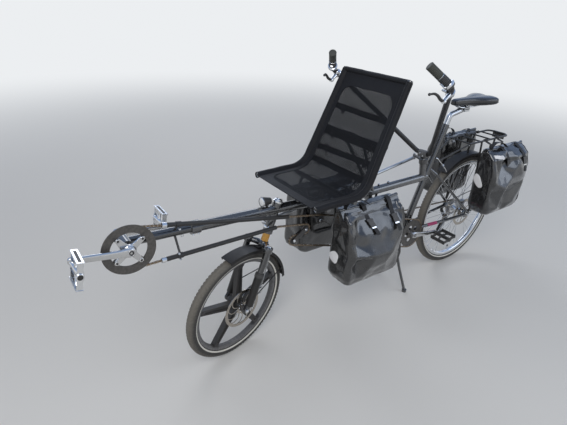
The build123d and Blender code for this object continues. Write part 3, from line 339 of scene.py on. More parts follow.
def node_of(tree, kind, label="", **values):
    """A node with values set on its inputs by place or on itself by name."""
    made = tree.nodes.new(kind)
    made.label = label
    for key, value in values.items():
        if key.startswith("in_"):
            made.inputs[int(key[3:])].default_value = value
        else:
            setattr(made, key, value)
    return made


def maths(tree, operation, a, b=None, clamp=False):
    """A maths node between sockets or numbers."""
    made = tree.nodes.new("ShaderNodeMath")
    made.operation = operation
    made.use_clamp = clamp
    for place, value in enumerate((a, b)):
        if value is None:
            continue
        if isinstance(value, (int, float)):
            made.inputs[place].default_value = value
        else:
            tree.links.new(value, made.inputs[place])
    return made.outputs[0]


def build_groups():
    """The effects that several finishes share."""
    number, colour, vector = "NodeSocketFloat", "NodeSocketColor", "NodeSocketVector"
    tree, start, end = new_group(
        "Surface grain",
        (("Place", vector, (0, 0, 0)), ("Scale", number, 400.0), ("Roughness low", number, 0.3),
         ("Roughness high", number, 0.5)),
        (("Height", number), ("Roughness", number), ("Patches", number)),
    )
    fine = node_of(tree, "ShaderNodeTexNoise", "fine grain", in_3=4.0)
    wide = node_of(tree, "ShaderNodeTexNoise", "broad patches", in_2=9.0, in_3=3.0)
    tree.links.new(start.outputs["Place"], fine.inputs["Vector"])
    tree.links.new(start.outputs["Scale"], fine.inputs["Scale"])
    tree.links.new(start.outputs["Place"], wide.inputs["Vector"])
    tree.links.new(fine.outputs[0], end.inputs["Height"])
    both = maths(tree, "MULTIPLY", fine.outputs[0], 0.4)
    both = maths(tree, "ADD", both, maths(tree, "MULTIPLY", wide.outputs[0], 0.6))
    spread = node_of(tree, "ShaderNodeMapRange", "roughness range", in_1=0.3, in_2=0.7)
    tree.links.new(both, spread.inputs[0])
    tree.links.new(start.outputs["Roughness low"], spread.inputs[3])
    tree.links.new(start.outputs["Roughness high"], spread.inputs[4])
    tree.links.new(spread.outputs[0], end.inputs["Roughness"])
    tree.links.new(wide.outputs[0], end.inputs["Patches"])

    tree, start, end = new_group(
        "Road dust",
        (("Place", vector, (0, 0, 0)), ("Colour", colour, (0, 0, 0, 1)),
         ("Dust", colour, (0.3, 0.25, 0.18, 1)),
         ("Amount", number, 0.2)),
        (("Colour", colour), ("Mask", number)),
    )
    specks = node_of(tree, "ShaderNodeTexNoise", "dust specks", in_2=55.0, in_3=6.0, in_4=0.7)
    tree.links.new(start.outputs["Place"], specks.inputs["Vector"])
    facing = tree.nodes.new("ShaderNodeNewGeometry")
    split = tree.nodes.new("ShaderNodeSeparateXYZ")
    tree.links.new(facing.outputs["Normal"], split.inputs[0])
    upward = maths(tree, "MULTIPLY", maths(tree, "ADD", split.outputs[2], 0.6), 0.6, True)
    mask = maths(tree, "MULTIPLY", upward, maths(tree, "MULTIPLY", specks.outputs[0], 1.5))
    mask = maths(tree, "MULTIPLY", mask, start.outputs["Amount"], True)
    mix = node_of(tree, "ShaderNodeMix", "dust over colour", data_type="RGBA")
    tree.links.new(mask, mix.inputs[0])
    tree.links.new(start.outputs["Colour"], mix.inputs[6])
    tree.links.new(start.outputs["Dust"], mix.inputs[7])
    tree.links.new(mix.outputs[2], end.inputs["Colour"])
    tree.links.new(mask, end.inputs["Mask"])

    tree, start, end = new_group(
        "Rubbed edges",
        (("Colour", colour, (0, 0, 0, 1)), ("Rubbed", colour, (0.2, 0.2, 0.2, 1)),
         ("Amount", number, 0.3)),
        (("Colour", colour), ("Mask", number)),
    )
    shape = tree.nodes.new("ShaderNodeNewGeometry")
    place = tree.nodes.new("ShaderNodeTexCoord")
    breaks = node_of(tree, "ShaderNodeTexNoise", "breaks in the wear", in_2=120.0, in_3=5.0)
    tree.links.new(place.outputs["Object"], breaks.inputs["Vector"])
    ridge = node_of(tree, "ShaderNodeMapRange", "ridges", in_1=0.52, in_2=0.62)
    tree.links.new(shape.outputs["Pointiness"], ridge.inputs[0])
    mask = maths(tree, "MULTIPLY", ridge.outputs[0], maths(tree, "MULTIPLY", breaks.outputs[0], 1.6))
    mask = maths(tree, "MULTIPLY", mask, start.outputs["Amount"], True)
    mix = node_of(tree, "ShaderNodeMix", "rubbed over colour", data_type="RGBA")
    tree.links.new(mask, mix.inputs[0])
    tree.links.new(start.outputs["Colour"], mix.inputs[6])
    tree.links.new(start.outputs["Rubbed"], mix.inputs[7])
    tree.links.new(mix.outputs[2], end.inputs["Colour"])
    tree.links.new(mask, end.inputs["Mask"])

    tree, start, end = new_group(
        "Woven threads",
        (("Place", vector, (0, 0, 0)), ("Threads", number, 700.0), ("Open", number, 0.4)),
        (("Height", number), ("Cover", number)),
    )
    split = tree.nodes.new("ShaderNodeSeparateXYZ")
    tree.links.new(start.outputs["Place"], split.inputs[0])
    waves = []
    for axis in (0, 1):
        turn = maths(tree, "MULTIPLY", split.outputs[axis], start.outputs["Threads"])
        waves.append(maths(tree, "ABSOLUTE", maths(tree, "SINE", turn)))
    height = maths(tree, "MAXIMUM", waves[0], waves[1])
    cover = maths(tree, "GREATER_THAN", height, start.outputs["Open"])
    tree.links.new(height, end.inputs["Height"])
    tree.links.new(cover, end.inputs["Cover"])

    tree, start, end = new_group(
        "Creased cloth",
        (("Place", vector, (0, 0, 0)), ("Scale", number, 14.0)),
        (("Height", number),),
    )
    bend = node_of(tree, "ShaderNodeTexNoise", "bent folds", in_2=6.0, in_3=3.0)
    tree.links.new(start.outputs["Place"], bend.inputs["Vector"])
    push = node_of(tree, "ShaderNodeVectorMath", "push", operation="MULTIPLY_ADD")
    push.inputs[1].default_value = (0.12, 0.12, 0.12)
    tree.links.new(bend.outputs[1], push.inputs[0])
    tree.links.new(start.outputs["Place"], push.inputs[2])
    folds = node_of(tree, "ShaderNodeTexVoronoi", "folds", feature="F1", in_3=1.0)
    folds.distance = "EUCLIDEAN"
    tree.links.new(push.outputs[0], folds.inputs["Vector"])
    tree.links.new(start.outputs["Scale"], folds.inputs["Scale"])
    crumple = node_of(tree, "ShaderNodeTexNoise", "small crumples", in_2=40.0, in_3=5.0, in_4=0.6)
    tree.links.new(start.outputs["Place"], crumple.inputs["Vector"])
    height = maths(tree, "ADD", folds.outputs[0], maths(tree, "MULTIPLY", crumple.outputs[0], 0.35))
    tree.links.new(height, end.inputs["Height"])


def group_in(tree, name, **values):
    """A shared effect placed in a material with its own values."""
    made = tree.nodes.new("ShaderNodeGroup")
    made.node_tree = bpy.data.node_groups[name]
    made.label = name
    for key, value in values.items():
        made.inputs[key.replace("_", " ")].default_value = value
    return made


def finish(name, colour, rough, metal=0.0, grain=500.0, depth=0.1, coat=0.0, dust=0.0, wear=0.0,
           shade=0.25, dust_colour=(0.34, 0.29, 0.22), rubbed=(0.35, 0.35, 0.36), sheen=0.0,
           spread=0.12, crease=0.0, weave=0.0, specular=0.5, alpha_weave=False, coat_index=1.5):
    """A material with grain, broad patches, dust and rubbed edges at its own scale."""
    material = bpy.data.materials.new(name)
    material.use_nodes = True
    tree = material.node_tree
    shader = tree.nodes["Principled BSDF"]
    place = tree.nodes.new("ShaderNodeTexCoord")
    where = place.outputs["Object"]
    surface = group_in(tree, "Surface grain", Scale=grain, Roughness_low=max(rough - spread, 0.02),
                       Roughness_high=min(rough + spread, 1.0))
    tree.links.new(where, surface.inputs["Place"])
    tree.links.new(surface.outputs["Roughness"], shader.inputs["Roughness"])
    tint = node_of(tree, "ShaderNodeMix", "patches of shade", data_type="RGBA")
    tint.inputs[6].default_value = (*[c * (1 - shade) for c in colour], 1)
    tint.inputs[7].default_value = (*[min(c * (1 + shade), 1.0) for c in colour], 1)
    tree.links.new(surface.outputs["Patches"], tint.inputs[0])
    current = tint.outputs[2]
    if wear:
        edges = group_in(tree, "Rubbed edges", Rubbed=(*rubbed, 1), Amount=wear)
        tree.links.new(current, edges.inputs["Colour"])
        current = edges.outputs["Colour"]
    if dust:
        film = group_in(tree, "Road dust", Dust=(*dust_colour, 1), Amount=dust)
        tree.links.new(where, film.inputs["Place"])
        tree.links.new(current, film.inputs["Colour"])
        current = film.outputs["Colour"]
    tree.links.new(current, shader.inputs["Base Color"])
    shader.inputs["Metallic"].default_value = metal
    shader.inputs["Coat Weight"].default_value = coat
    shader.inputs["Coat Roughness"].default_value = 0.06
    shader.inputs["Coat IOR"].default_value = coat_index
    shader.inputs["Specular IOR Level"].default_value = specular
    if sheen:
        shader.inputs["Sheen Weight"].default_value = sheen
        shader.inputs["Sheen Roughness"].default_value = 0.4
    relief = surface.outputs["Height"]
    strength, reach = depth, 0.0006
    if weave:
        cloth = group_in(tree, "Woven threads", Threads=weave, Open=0.40 if alpha_weave else 0.0)
        source = place.outputs["UV"] if alpha_weave else where
        tree.links.new(source, cloth.inputs["Place"])
        relief = maths(tree, "ADD", cloth.outputs["Height"], maths(tree, "MULTIPLY", relief, 0.4))
        if alpha_weave:
            tree.links.new(cloth.outputs["Cover"], shader.inputs["Alpha"])
    if crease:
        folds = group_in(tree, "Creased cloth", Scale=crease)
        tree.links.new(where, folds.inputs["Place"])
        relief = maths(tree, "ADD", maths(tree, "MULTIPLY", folds.outputs["Height"], 14.0), relief)
    bump = node_of(tree, "ShaderNodeBump", "relief", in_0=strength, in_1=reach)
    bump.inputs["Height"].default_value = 0
    tree.links.new(relief, bump.inputs["Height"])
    tree.links.new(bump.outputs[0], shader.inputs["Normal"])
    FINISH[name] = material
    return material


def wheel_dirt(name, centre, axis, inner, outer, dirt, base, rough):
    """Rubber that turns dusty towards the tread, by its distance from the axle."""
    material = finish(name, base, rough, grain=900.0, depth=0.25, dust=0.12, spread=0.1)
    tree = material.node_tree
    shader = tree.nodes["Principled BSDF"]
    place = [n for n in tree.nodes if n.bl_idname == "ShaderNodeTexCoord"][0]
    away = node_of(tree, "ShaderNodeVectorMath", "from the axle", operation="SUBTRACT")
    away.inputs[1].default_value = TO_ROW @ Vector(centre)
    tree.links.new(place.outputs["Object"], away.inputs[0])
    cross = node_of(tree, "ShaderNodeVectorMath", "across the axle", operation="CROSS_PRODUCT")
    cross.inputs[1].default_value = Vector(axis).normalized()
    tree.links.new(away.outputs[0], cross.inputs[0])
    length = node_of(tree, "ShaderNodeVectorMath", "radius", operation="LENGTH")
    tree.links.new(cross.outputs[0], length.inputs[0])
    speck = node_of(tree, "ShaderNodeTexNoise", "dirt specks", in_2=120.0, in_3=5.0)
    tree.links.new(place.outputs["Object"], speck.inputs["Vector"])
    noisy = maths(tree, "ADD", length.outputs["Value"], maths(tree, "MULTIPLY", speck.outputs[0], 0.012))
    reach = node_of(tree, "ShaderNodeMapRange", "dirty part", in_1=inner, in_2=outer, in_3=0.0, in_4=0.85)
    tree.links.new(noisy, reach.inputs[0])
    mix = node_of(tree, "ShaderNodeMix", "dirt over rubber", data_type="RGBA")
    tree.links.new(reach.outputs[0], mix.inputs[0])
    tree.links.new(shader.inputs["Base Color"].links[0].from_socket, mix.inputs[6])
    mix.inputs[7].default_value = (*dirt, 1)
    tree.links.new(mix.outputs[2], shader.inputs["Base Color"])


class FinishSettings(bpy.types.PropertyGroup):
    paint: FloatVectorProperty(name="Frame paint", description="Colour of the frame tubes", subtype="COLOR",
                               default=(0.006, 0.007, 0.009), min=0, max=1)
    dust: FloatProperty(name="Dust", description="How much road dust lies on the bicycle",
                        default=0.08, min=0, max=1, subtype="FACTOR")


class WheelSettings(bpy.types.PropertyGroup):
    tread: FloatProperty(name="Tread height", description="Height of the tread blocks, in millimetres",
                         default=1.5, min=0.5, max=3.0)
    spokes: IntProperty(name="Spokes", description="Wire spokes in the rear wheel",
                        default=32, min=20, max=40)


class LuggageSettings(bpy.types.PropertyGroup):
    crumple: FloatProperty(name="Crumple", description="Depth of the tarpaulin's folds, in millimetres",
                           default=14.0, min=0, max=20)
    fill: FloatProperty(name="Fill", description="How full the bags are", default=0.55, min=0, max=1,
                        subtype="FACTOR")


class SeatSettings(bpy.types.PropertyGroup):
    sag: FloatProperty(name="Sag", description="How far the sling hangs between its tubes, in millimetres",
                       default=3.0, min=0, max=30)


class StageSettings(bpy.types.PropertyGroup):
    key: FloatProperty(name="Key lamp", description="Power of the main lamp",
                       default=70.0, min=10, max=2000, unit="POWER")
    fill: FloatProperty(name="Fill lamp", description="Power of the second and the back lamp",
                        default=22.0, min=0, max=2000, unit="POWER")


FRAME_FINISHES = (  # nodes of the frame, their finish and its slot
    (("main_tube", "boom", "boom_clamp", "seat_tube", "bar_column", "down_tube", "chain_stays",
      "seat_stays", "seat_rails", "seat_crossbars", "seat_mounts", "stand_bracket", "stand_legs",
      "fork_crown", "fork_steering_arm"), "frame paint", "black_frame"),
    (("fork_lowers",), "fork black", "black_frame"),
    (("front_rotor", "rear_rotor"), "rotor steel", "bare_metal"),
    (("rear_rack", "front_carrier", "bar_stem", "handlebar"), "satin black", "black_frame"),
    (("rear_axle", "front_axle", "rear_rim", "front_caliper"), "bright metal", "bare_metal"),
    (("seat_post", "steering_rod", "rear_caliper"), "brushed metal", "bare_metal"),
    (("front_crankset", "rear_crankset"), "polished crank", "bare_metal"),
    (("front_chainring", "rear_chainrings"), "ring black", "sprocket_steel"),
    (("rear_cassette",), "tooth steel", "sprocket_steel"),
    (("front_left_pedal", "front_right_pedal"), "bright metal", "bare_metal"),
    (("rear_left_pedal", "rear_right_pedal"), "moulded black", "black_plastic"),
    (("chain_tubes",), "chain tube plastic", "black_tube"),
    (("chain_idler", "chain_tensioner", "rear_derailleur", "headlamp", "brake_levers"),
     "moulded black", "black_plastic"),
    (("rear_mudguard", "front_mudguard"), "guard plastic", "black_plastic"),
    (("fork_collar",), "amber ring", "amber_collar"),
    (("front_wheel",), "cast black", "cast_black"),
    (("bar_grips",), "grip rubber", "grip_rubber"),
)


class TANDEM_OT_finishes(bpy.types.Operator):
    """Makes the finishes and gives every piece of the frame its own"""
    bl_idname = "tandem.finishes"
    bl_label = "Finishes"

    def execute(self, context):
        settings = context.scene.tandem_finish
        dust = settings.dust
        build_groups()
        finish("frame paint", settings.paint, 0.2, grain=300, depth=0.03, coat=1.0, dust=dust * 0.4, wear=0.2,
               specular=0.6, coat_index=1.65)
        finish("fork black", (0.007, 0.007, 0.008), 0.34, grain=500, depth=0.05, coat=0.25, dust=dust * 0.7,
               wear=0.2, specular=0.35)
        finish("rotor steel", (0.46, 0.42, 0.37), 0.26, metal=1.0, grain=900, depth=0.1, dust=dust,
               shade=0.2)
        finish("ring black", (0.010, 0.010, 0.011), 0.38, grain=500, depth=0.1, dust=dust, wear=0.5,
               rubbed=(0.16, 0.15, 0.14))
        finish("satin black", (0.012, 0.012, 0.013), 0.4, grain=700, depth=0.12, dust=dust * 0.8, wear=0.4)
        finish("guard plastic", (0.008, 0.008, 0.009), 0.45, grain=260, depth=0.06, dust=dust * 0.7,
               specular=0.35)
        finish("chain tube plastic", (0.014, 0.014, 0.015), 0.42, grain=420, depth=0.08, dust=dust,
               spread=0.18)
        finish("moulded black", (0.018, 0.018, 0.019), 0.48, grain=900, depth=0.18, dust=dust * 0.9,
               wear=0.2)
        finish("cast black", (0.016, 0.016, 0.018), 0.46, grain=600, depth=0.2, dust=dust * 1.5, wear=0.5)
        finish("bright metal", (0.72, 0.73, 0.74), 0.2, metal=1.0, grain=900, depth=0.05, dust=dust * 0.4,
               shade=0.12)
        finish("polished crank", (0.60, 0.60, 0.60), 0.2, metal=1.0, grain=500, depth=0.05, dust=dust * 0.3,
               shade=0.15)
        finish("brushed metal", (0.55, 0.56, 0.57), 0.34, metal=1.0, grain=1400, depth=0.12,
               dust=dust * 0.7)
        finish("tooth steel", (0.30, 0.28, 0.26), 0.38, metal=1.0, grain=700, depth=0.15, dust=dust,
               dust_colour=(0.10, 0.07, 0.045))
        finish("chain steel", (0.24, 0.18, 0.12), 0.42, metal=0.9, grain=600, depth=0.2, dust=dust * 1.2,
               dust_colour=(0.11, 0.07, 0.04))
        finish("hose grey", (0.30, 0.31, 0.32), 0.35, grain=900, depth=0.05, dust=dust)
        finish("magenta tape", (0.36, 0.02, 0.12), 0.45, grain=500, depth=0.1, dust=dust, wear=0.2)
        finish("amber ring", (0.60, 0.30, 0.045), 0.32, metal=0.35, grain=400, depth=0.06, coat=0.5)
        finish("grip rubber", (0.050, 0.054, 0.047), 0.6, grain=1200, depth=0.2, dust=dust * 1.2)
        finish("saddle skin", (0.010, 0.011, 0.014), 0.22, grain=650, depth=0.16, coat=0.35,
               dust=dust * 0.5)
        finish("sling mesh", (0.006, 0.006, 0.007), 0.7, grain=900, depth=0.2, weave=1450.0,
               alpha_weave=True, specular=0.2)
        finish("border cloth", (0.006, 0.0065, 0.009), 0.6, grain=1000, depth=0.3, weave=2600.0, sheen=0.04,
               dust=dust * 0.4, specular=0.25)
        finish("webbing", (0.014, 0.015, 0.018), 0.58, grain=1100, depth=0.4, weave=1900.0, sheen=0.06,
               dust=dust * 0.6, specular=0.35)
        finish("tarpaulin", (0.005, 0.0055, 0.007), 0.28, grain=240, depth=0.3, coat=0.85, dust=dust * 0.5,
               crease=9.0, spread=0.08, specular=0.6, coat_index=1.6)
        finish("reflector white", (0.80, 0.80, 0.82), 0.35, grain=900, depth=0.1, coat=0.3, shade=0.06)
        finish("lamp glass", (0.86, 0.88, 0.90), 0.08, grain=120, depth=0.1, coat=1.0, shade=0.05,
               spread=0.04)
        finish("tyre band", (0.72, 0.70, 0.64), 0.4, grain=700, depth=0.15, dust=dust, shade=0.15)
        dirt, rubber = (0.20, 0.185, 0.16), (0.030, 0.029, 0.028)
        wheel_dirt("rear tyre rubber", REAR_HUB, ACROSS, 0.318, 0.334, dirt, rubber, 0.66)
        wheel_dirt("front tyre rubber", STEER @ FRONT_HUB, STEER.to_3x3() @ ACROSS, 0.238, 0.254, dirt,
                   rubber, 0.66)
        for names, material, slot in FRAME_FINISHES:
            for name in names:
                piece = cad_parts[name]
                piece.data.materials.clear()
                piece.data.materials.append(FINISH[material])
        return {"FINISHED"}


# Tyres and rear wheel
CASING_DEPTH = 22.0  # from the tyre's outside in to the middle of its casing
CASING_RADIUS = 20.4
TREAD_ROWS = (  # lean of each row of blocks, length as a share of the pitch, width
    (-46, 0.62, 7.5), (-17, 0.66, 7.0), (17, 0.66, 7.0), (46, 0.62, 7.5),
)


def tyre(name, body, node, centre, radius, matrix, material, blocks, tread):
    """A tyre with its casing, raised tread blocks and pale bands."""
    form = Form(matrix)
    ring, thick = radius - CASING_DEPTH, CASING_RADIUS
    profile = []
    for k in range(33):
        a = math.radians(-152 + 304 * k / 32)
        profile.append((ring + thick * math.cos(a), thick * math.sin(a)))
    for a in (152, 176, 184, 208):
        b = math.radians(a)
        inside = thick - 3.0
        profile.append((ring + inside * math.cos(b), inside * math.sin(b)))
    form.lathe(profile, centre, ACROSS, 120, closed=True)
    top = radius - ring - 0.15
    low = top - tread - 0.8
    pitch = 2 * math.pi * radius / blocks
    for row, (lean, long, wide) in enumerate(TREAD_ROWS):
        lean_a = math.radians(lean)
        for k in range(blocks):
            a = 2 * math.pi * (k + 0.5 * (row % 2)) / blocks
            out = Vector((math.cos(a), 0, math.sin(a)))
            along = Vector((-math.sin(a), 0, math.cos(a)))
            up = out * math.cos(lean_a) + ACROSS * math.sin(lean_a)
            side = up.cross(along)
            middle = Vector(centre) + out * ring + up * ((top + low) / 2)
            form.block(middle, along, -side, (pitch * long, wide, top - low), 0.8)
    form.make(name, body, material, "tyre", (node,))
    band = Form(matrix)
    for side in (-1, 1):
        strip = []
        for k in range(5):
            a = math.radians(side * (107 + 5.8 * k))
            lift = thick + (0.35 if 0 < k < 4 else -0.3)
            strip.append((ring + lift * math.cos(a), lift * math.sin(a)))
        band.lathe(strip, centre, ACROSS, 120, capped=False)
    band.make(name + "_bands", body, "tyre band", None)


class TANDEM_OT_tyres(bpy.types.Operator):
    """Builds both tyres with their tread"""
    bl_idname = "tandem.tyres"
    bl_label = "Tyres"

    def execute(self, context):
        tread = context.scene.tandem_wheel.tread
        tyre("rear_tyre_tread", "rear_wheel", "rear_tyre", REAR_HUB, REAR_HUB.z, STRAIGHT,
             "rear tyre rubber", 126, tread)
        tyre("front_tyre_tread", "front_wheel", "front_tyre", FRONT_HUB, FRONT_HUB.z, STEER,
             "front tyre rubber", 96, tread)
        return {"FINISHED"}


RIM_PROFILE = (  # radius and place across the wheel
    (292, 12), (290.5, 13), (283, 12.4), (276, 9.5), (272.6, 5), (272, 0), (272.6, -5), (276, -9.5),
    (283, -12.4), (290.5, -13), (292, -12), (290, -10.6), (286, -9.5), (283.5, -4), (283.5, 4),
    (286, 9.5), (290, 10.6),
)
HUB_PROFILE = (
    (6.5, -61), (12, -61), (14, -58), (14, -52), (16, -30), (29, -27.5), (29, -22), (18, -20),
    (15, -12), (14, 4), (15, 18), (18, 28), (29, 30), (29, 35), (17, 38), (16, 47), (18, 48),
    (18, 52), (13, 54), (12, 61), (6.5, 61),
)
SPOKE_FOOT, SPOKE_TIP = 25.5, 273.5  # radii of a spoke's ends
SPOKE_SWING = 58  # how far a spoke's foot is turned on from its tip, in degrees


class TANDEM_OT_rear_wheel(bpy.types.Operator):
    """Laces the rear wheel: rim, nipples, spokes and hub"""
    bl_idname = "tandem.rear_wheel"
    bl_label = "Rear wheel"

    def execute(self, context):
        count = context.scene.tandem_wheel.spokes
        rim = Form()
        rim.lathe(RIM_PROFILE, REAR_HUB, ACROSS, 144, closed=True)
        rim.make("rear_rim_hoop", "rear_wheel", "bright metal", "bare_metal", ("rear_rim",))
        wires = Form()
        for k in range(count):
            side = 1 if k % 2 else -1
            flange_y = 33.0 if side > 0 else -25.0
            rim_a = 2 * math.pi * k / count
            hub_a = rim_a + math.radians(SPOKE_SWING if (k // 2) % 2 else -SPOKE_SWING)
            foot_y = flange_y + side * (1.6 if (k // 2) % 2 else -1.6)
            foot = REAR_HUB + Vector((math.cos(hub_a) * SPOKE_FOOT, foot_y, math.sin(hub_a) * SPOKE_FOOT))
            tip = REAR_HUB + Vector((math.cos(rim_a) * SPOKE_TIP, side * 3.0, math.sin(rim_a) * SPOKE_TIP))
            wires.tube((foot, tip), 1.15, 6, paint=0)
            aim = (tip - foot).normalized()
            wires.tube((tip - aim * 11, tip - aim * 1, tip), (1.9, 2.2, 2.6), 8, paint=1)
            wires.bolt(foot + ACROSS * (side * 0.8), ACROSS * side, 2.0, 1.2, paint=1)
        valve = REAR_HUB + Vector((0, 0, -272))
        wires.tube((valve, valve + UP * 24), 3.0, 12, paint=1)
        wires.tube((valve + UP * 24, valve + UP * 34), 4.4, 12, paint=2)
        wires.make("rear_spokes", "rear_wheel", ("bright metal", "bright metal", "moulded black"),
                   "bare_metal")
        hub = Form()
        hub.lathe(HUB_PROFILE, REAR_HUB, ACROSS, 48)
        hub.make("rear_hub_shell", "rear_wheel", "bright metal", "bare_metal", ("rear_hub",))
        return {"FINISHED"}


# Chains
PLATE_ROUND, PLATE_WAIST, PLATE_THICK = 3.9, 2.6, 0.75
OUTER_PLATE, INNER_PLATE = 2.7, 1.9  # how far a link's plates stand from the chain's middle
ROLLER, PIN = (3.7, 1.6), (1.7, 3.1)  # radius and half length


def chain_links(name, node, circles, y):
    """A roller chain: pairs of inner and outer plates on rollers."""
    form = Form()
    line = chain_line(circles, LINK)
    count = len(line)
    for i in range(count):
        a, b = line[i], line[(i + 1) % count]
        aim = (b - a).normalized()
        side = Vector((-aim.y, aim.x))
        offset = OUTER_PLATE if i % 2 else INNER_PLATE
        outline = []
        for centre, sign in ((a, -1), (b, 1)):
            for turn in (-90, -45, 0, 45, 90):
                w = math.radians(turn)
                p = centre + aim * (sign * math.cos(w) * PLATE_ROUND)
                p += side * (sign * math.sin(w) * PLATE_ROUND)
                outline.append((p.x, p.y))
            waist = a.lerp(b, 0.5) + side * (sign * PLATE_WAIST)
            outline.append((waist.x, waist.y))
        for way in (-1, 1):
            points = [Vector((px, y + way * offset, pz)) for px, pz in outline]
            form.plate(points, ACROSS, PLATE_THICK)
        centre = Vector((a.x, y, a.y))
        for (radius, half), sides, capped in ((ROLLER, 8, False), (PIN, 6, True)):
            ends = (centre - ACROSS * half, centre + ACROSS * half)
            form.tube(ends, radius, sides, paint=1, capped=capped)
    form.make(name, "frame", ("chain steel", "brushed metal"), "chain_brown", (node,))


class TANDEM_OT_chains(bpy.types.Operator):
    """Builds the timing chain and the drive chain link by link"""
    bl_idname = "tandem.chains"
    bl_label = "Chains"

    def execute(self, context):
        chain_links("timing_chain_links", "timing_chain", TIMING, CHAIN_Y)
        chain_links("drive_chain_links", "drive_chain", DRIVE, DRIVE_Y)
        return {"FINISHED"}


# Cranks and pedals
FRONT_BB = Vector((1871, 0, 660))
REAR_BB = Vector((443, 0, 318))
CRANK = 172.0
CRANK_Y = 73.0
CRANK_SETS = (  # name, body, node, bottom bracket, angle of the left arm
    ("front_cranks_forged", "front_cranks", "front_crankset", FRONT_BB, 8.0),
    ("rear_cranks_forged", "rear_cranks", "rear_crankset", REAR_BB, 190.0),
)
PEDALS = (  # body and node, bottom bracket, crank angle, side, how far the pedal is turned, its finish
    ("front_left_pedal", FRONT_BB, 8.0, 1, 80.0, "bright metal"),
    ("front_right_pedal", FRONT_BB, 188.0, -1, 80.0, "bright metal"),
    ("rear_left_pedal", REAR_BB, 190.0, 1, 10.0, "moulded black"),
    ("rear_right_pedal", REAR_BB, 10.0, -1, 10.0, "moulded black"),
)


CRANK_STATIONS = (  # share of the arm, half its width and half its thickness, how far out
    (-0.085, 9.0, 5.0, -1.0), (-0.05, 15.5, 6.4, -0.5), (0.02, 17.0, 7.0, 0.0), (0.10, 16.2, 7.0, 0.0),
    (0.2, 13.6, 6.8, 0.2), (0.5, 12.0, 6.2, 0.4), (0.82, 11.6, 6.4, 0.2), (0.93, 13.2, 6.8, 0.0),
    (1.0, 13.8, 6.9, 0.0), (1.055, 10.6, 6.2, -0.2), (1.075, 6.0, 4.5, -0.8),
)
BOLT_CIRCLE = 55.0
RING_Y = 60.1  # the front ring's middle
SPIDER_TIP = 8.2  # radius of the spider round a ring bolt
SPIDER_THICK = 6.6
PEDAL_OUT = 58.0  # from the crank's middle to the pedal's
CAGE_HALF = 44.0
BARREL_PROFILE = (  # radius and length of a pedal's barrel, from the crank outwards
    (6.0, -57), (7.6, -56), (7.6, -47), (11.5, -46), (12.0, -43), (9.4, -39), (9.0, 0), (9.4, 36),
    (11.6, 39), (11.6, 42.5), (10.2, 43.6), (8.4, 43.6),
)
CAGE_END = ((8, 11), (20, 8.0), (36, 8.4), (45, 10.2))  # upper edge of a cage's end plate


def crank_aim(angle):
    a = math.radians(angle)
    return Vector((math.cos(a), 0, math.sin(a)))


def forged_arm(form, bottom, angle, side):
    """One crank arm: a swelling boss, a tapered fluted shank and an eye for the pedal."""
    aim = crank_aim(angle)
    rise = aim.cross(ACROSS)
    stations = []
    for share, wide, thick, out in CRANK_STATIONS:
        middle = bottom + aim * (CRANK * share) + ACROSS * (side * (CRANK_Y + out))
        stations.append((middle, rise * wide, ACROSS * thick))
    form.loft(stations, 24, 2.8)
    face = bottom + ACROSS * (side * (CRANK_Y + 6.6))
    form.lathe(((12.5, 0), (12.2, 0.9), (8.6, 1.0), (8.2, -0.6)), face, ACROSS * side, 36,
               capped=False)
    form.lathe(((8.3, -0.6), (7.6, 1.2), (4.4, 1.4), (3.9, -1.5)), face, ACROSS * side, 28, paint=1)
    eye = bottom + aim * CRANK + ACROSS * (side * CRANK_Y)
    form.lathe(((8.4, -7.4), (7.8, -8.2), (4.2, -8.2), (3.8, -6.0)), eye, ACROSS * side, 24)


def spider(form, bottom, first):
    """Four arms that flow from the hub to the ring's bolts."""
    outline = []
    for k in range(4):
        mid = math.radians(first + 90 * k)
        for step in range(-3, 4):
            a = mid + math.radians(30 * step)
            tip = bottom + Vector((math.cos(mid), 0, math.sin(mid))) * BOLT_CIRCLE
            outline.append(tip + Vector((math.cos(a), 0, math.sin(a))) * SPIDER_TIP)
        for share in (0.25, 0.5, 0.75):
            a = mid + math.radians(90 * share)
            waist = 46 - 26 * math.sin(math.pi * share) ** 0.7
            outline.append(bottom + Vector((math.cos(a), 0, math.sin(a))) * waist)
    form.plate([p + ACROSS * RING_Y for p in outline], ACROSS, SPIDER_THICK)
    form.lathe(((21, -4), (21, 3), (18, 6), (16, 9)), bottom + ACROSS * RING_Y, ACROSS, 40)
    for k in range(4):
        a = math.radians(first + 90 * k)
        bolt = bottom + Vector((math.cos(a) * BOLT_CIRCLE, RING_Y + 3.1, math.sin(a) * BOLT_CIRCLE))
        form.lathe(((7.0, -2), (7.0, 0.9), (6.2, 1.7), (4.0, 1.7)), bolt, ACROSS, 24, capped=False)
        form.lathe(((4.2, 1.6), (3.2, 0.2), (0.6, 0.2)), bolt, ACROSS, 6, paint=1)


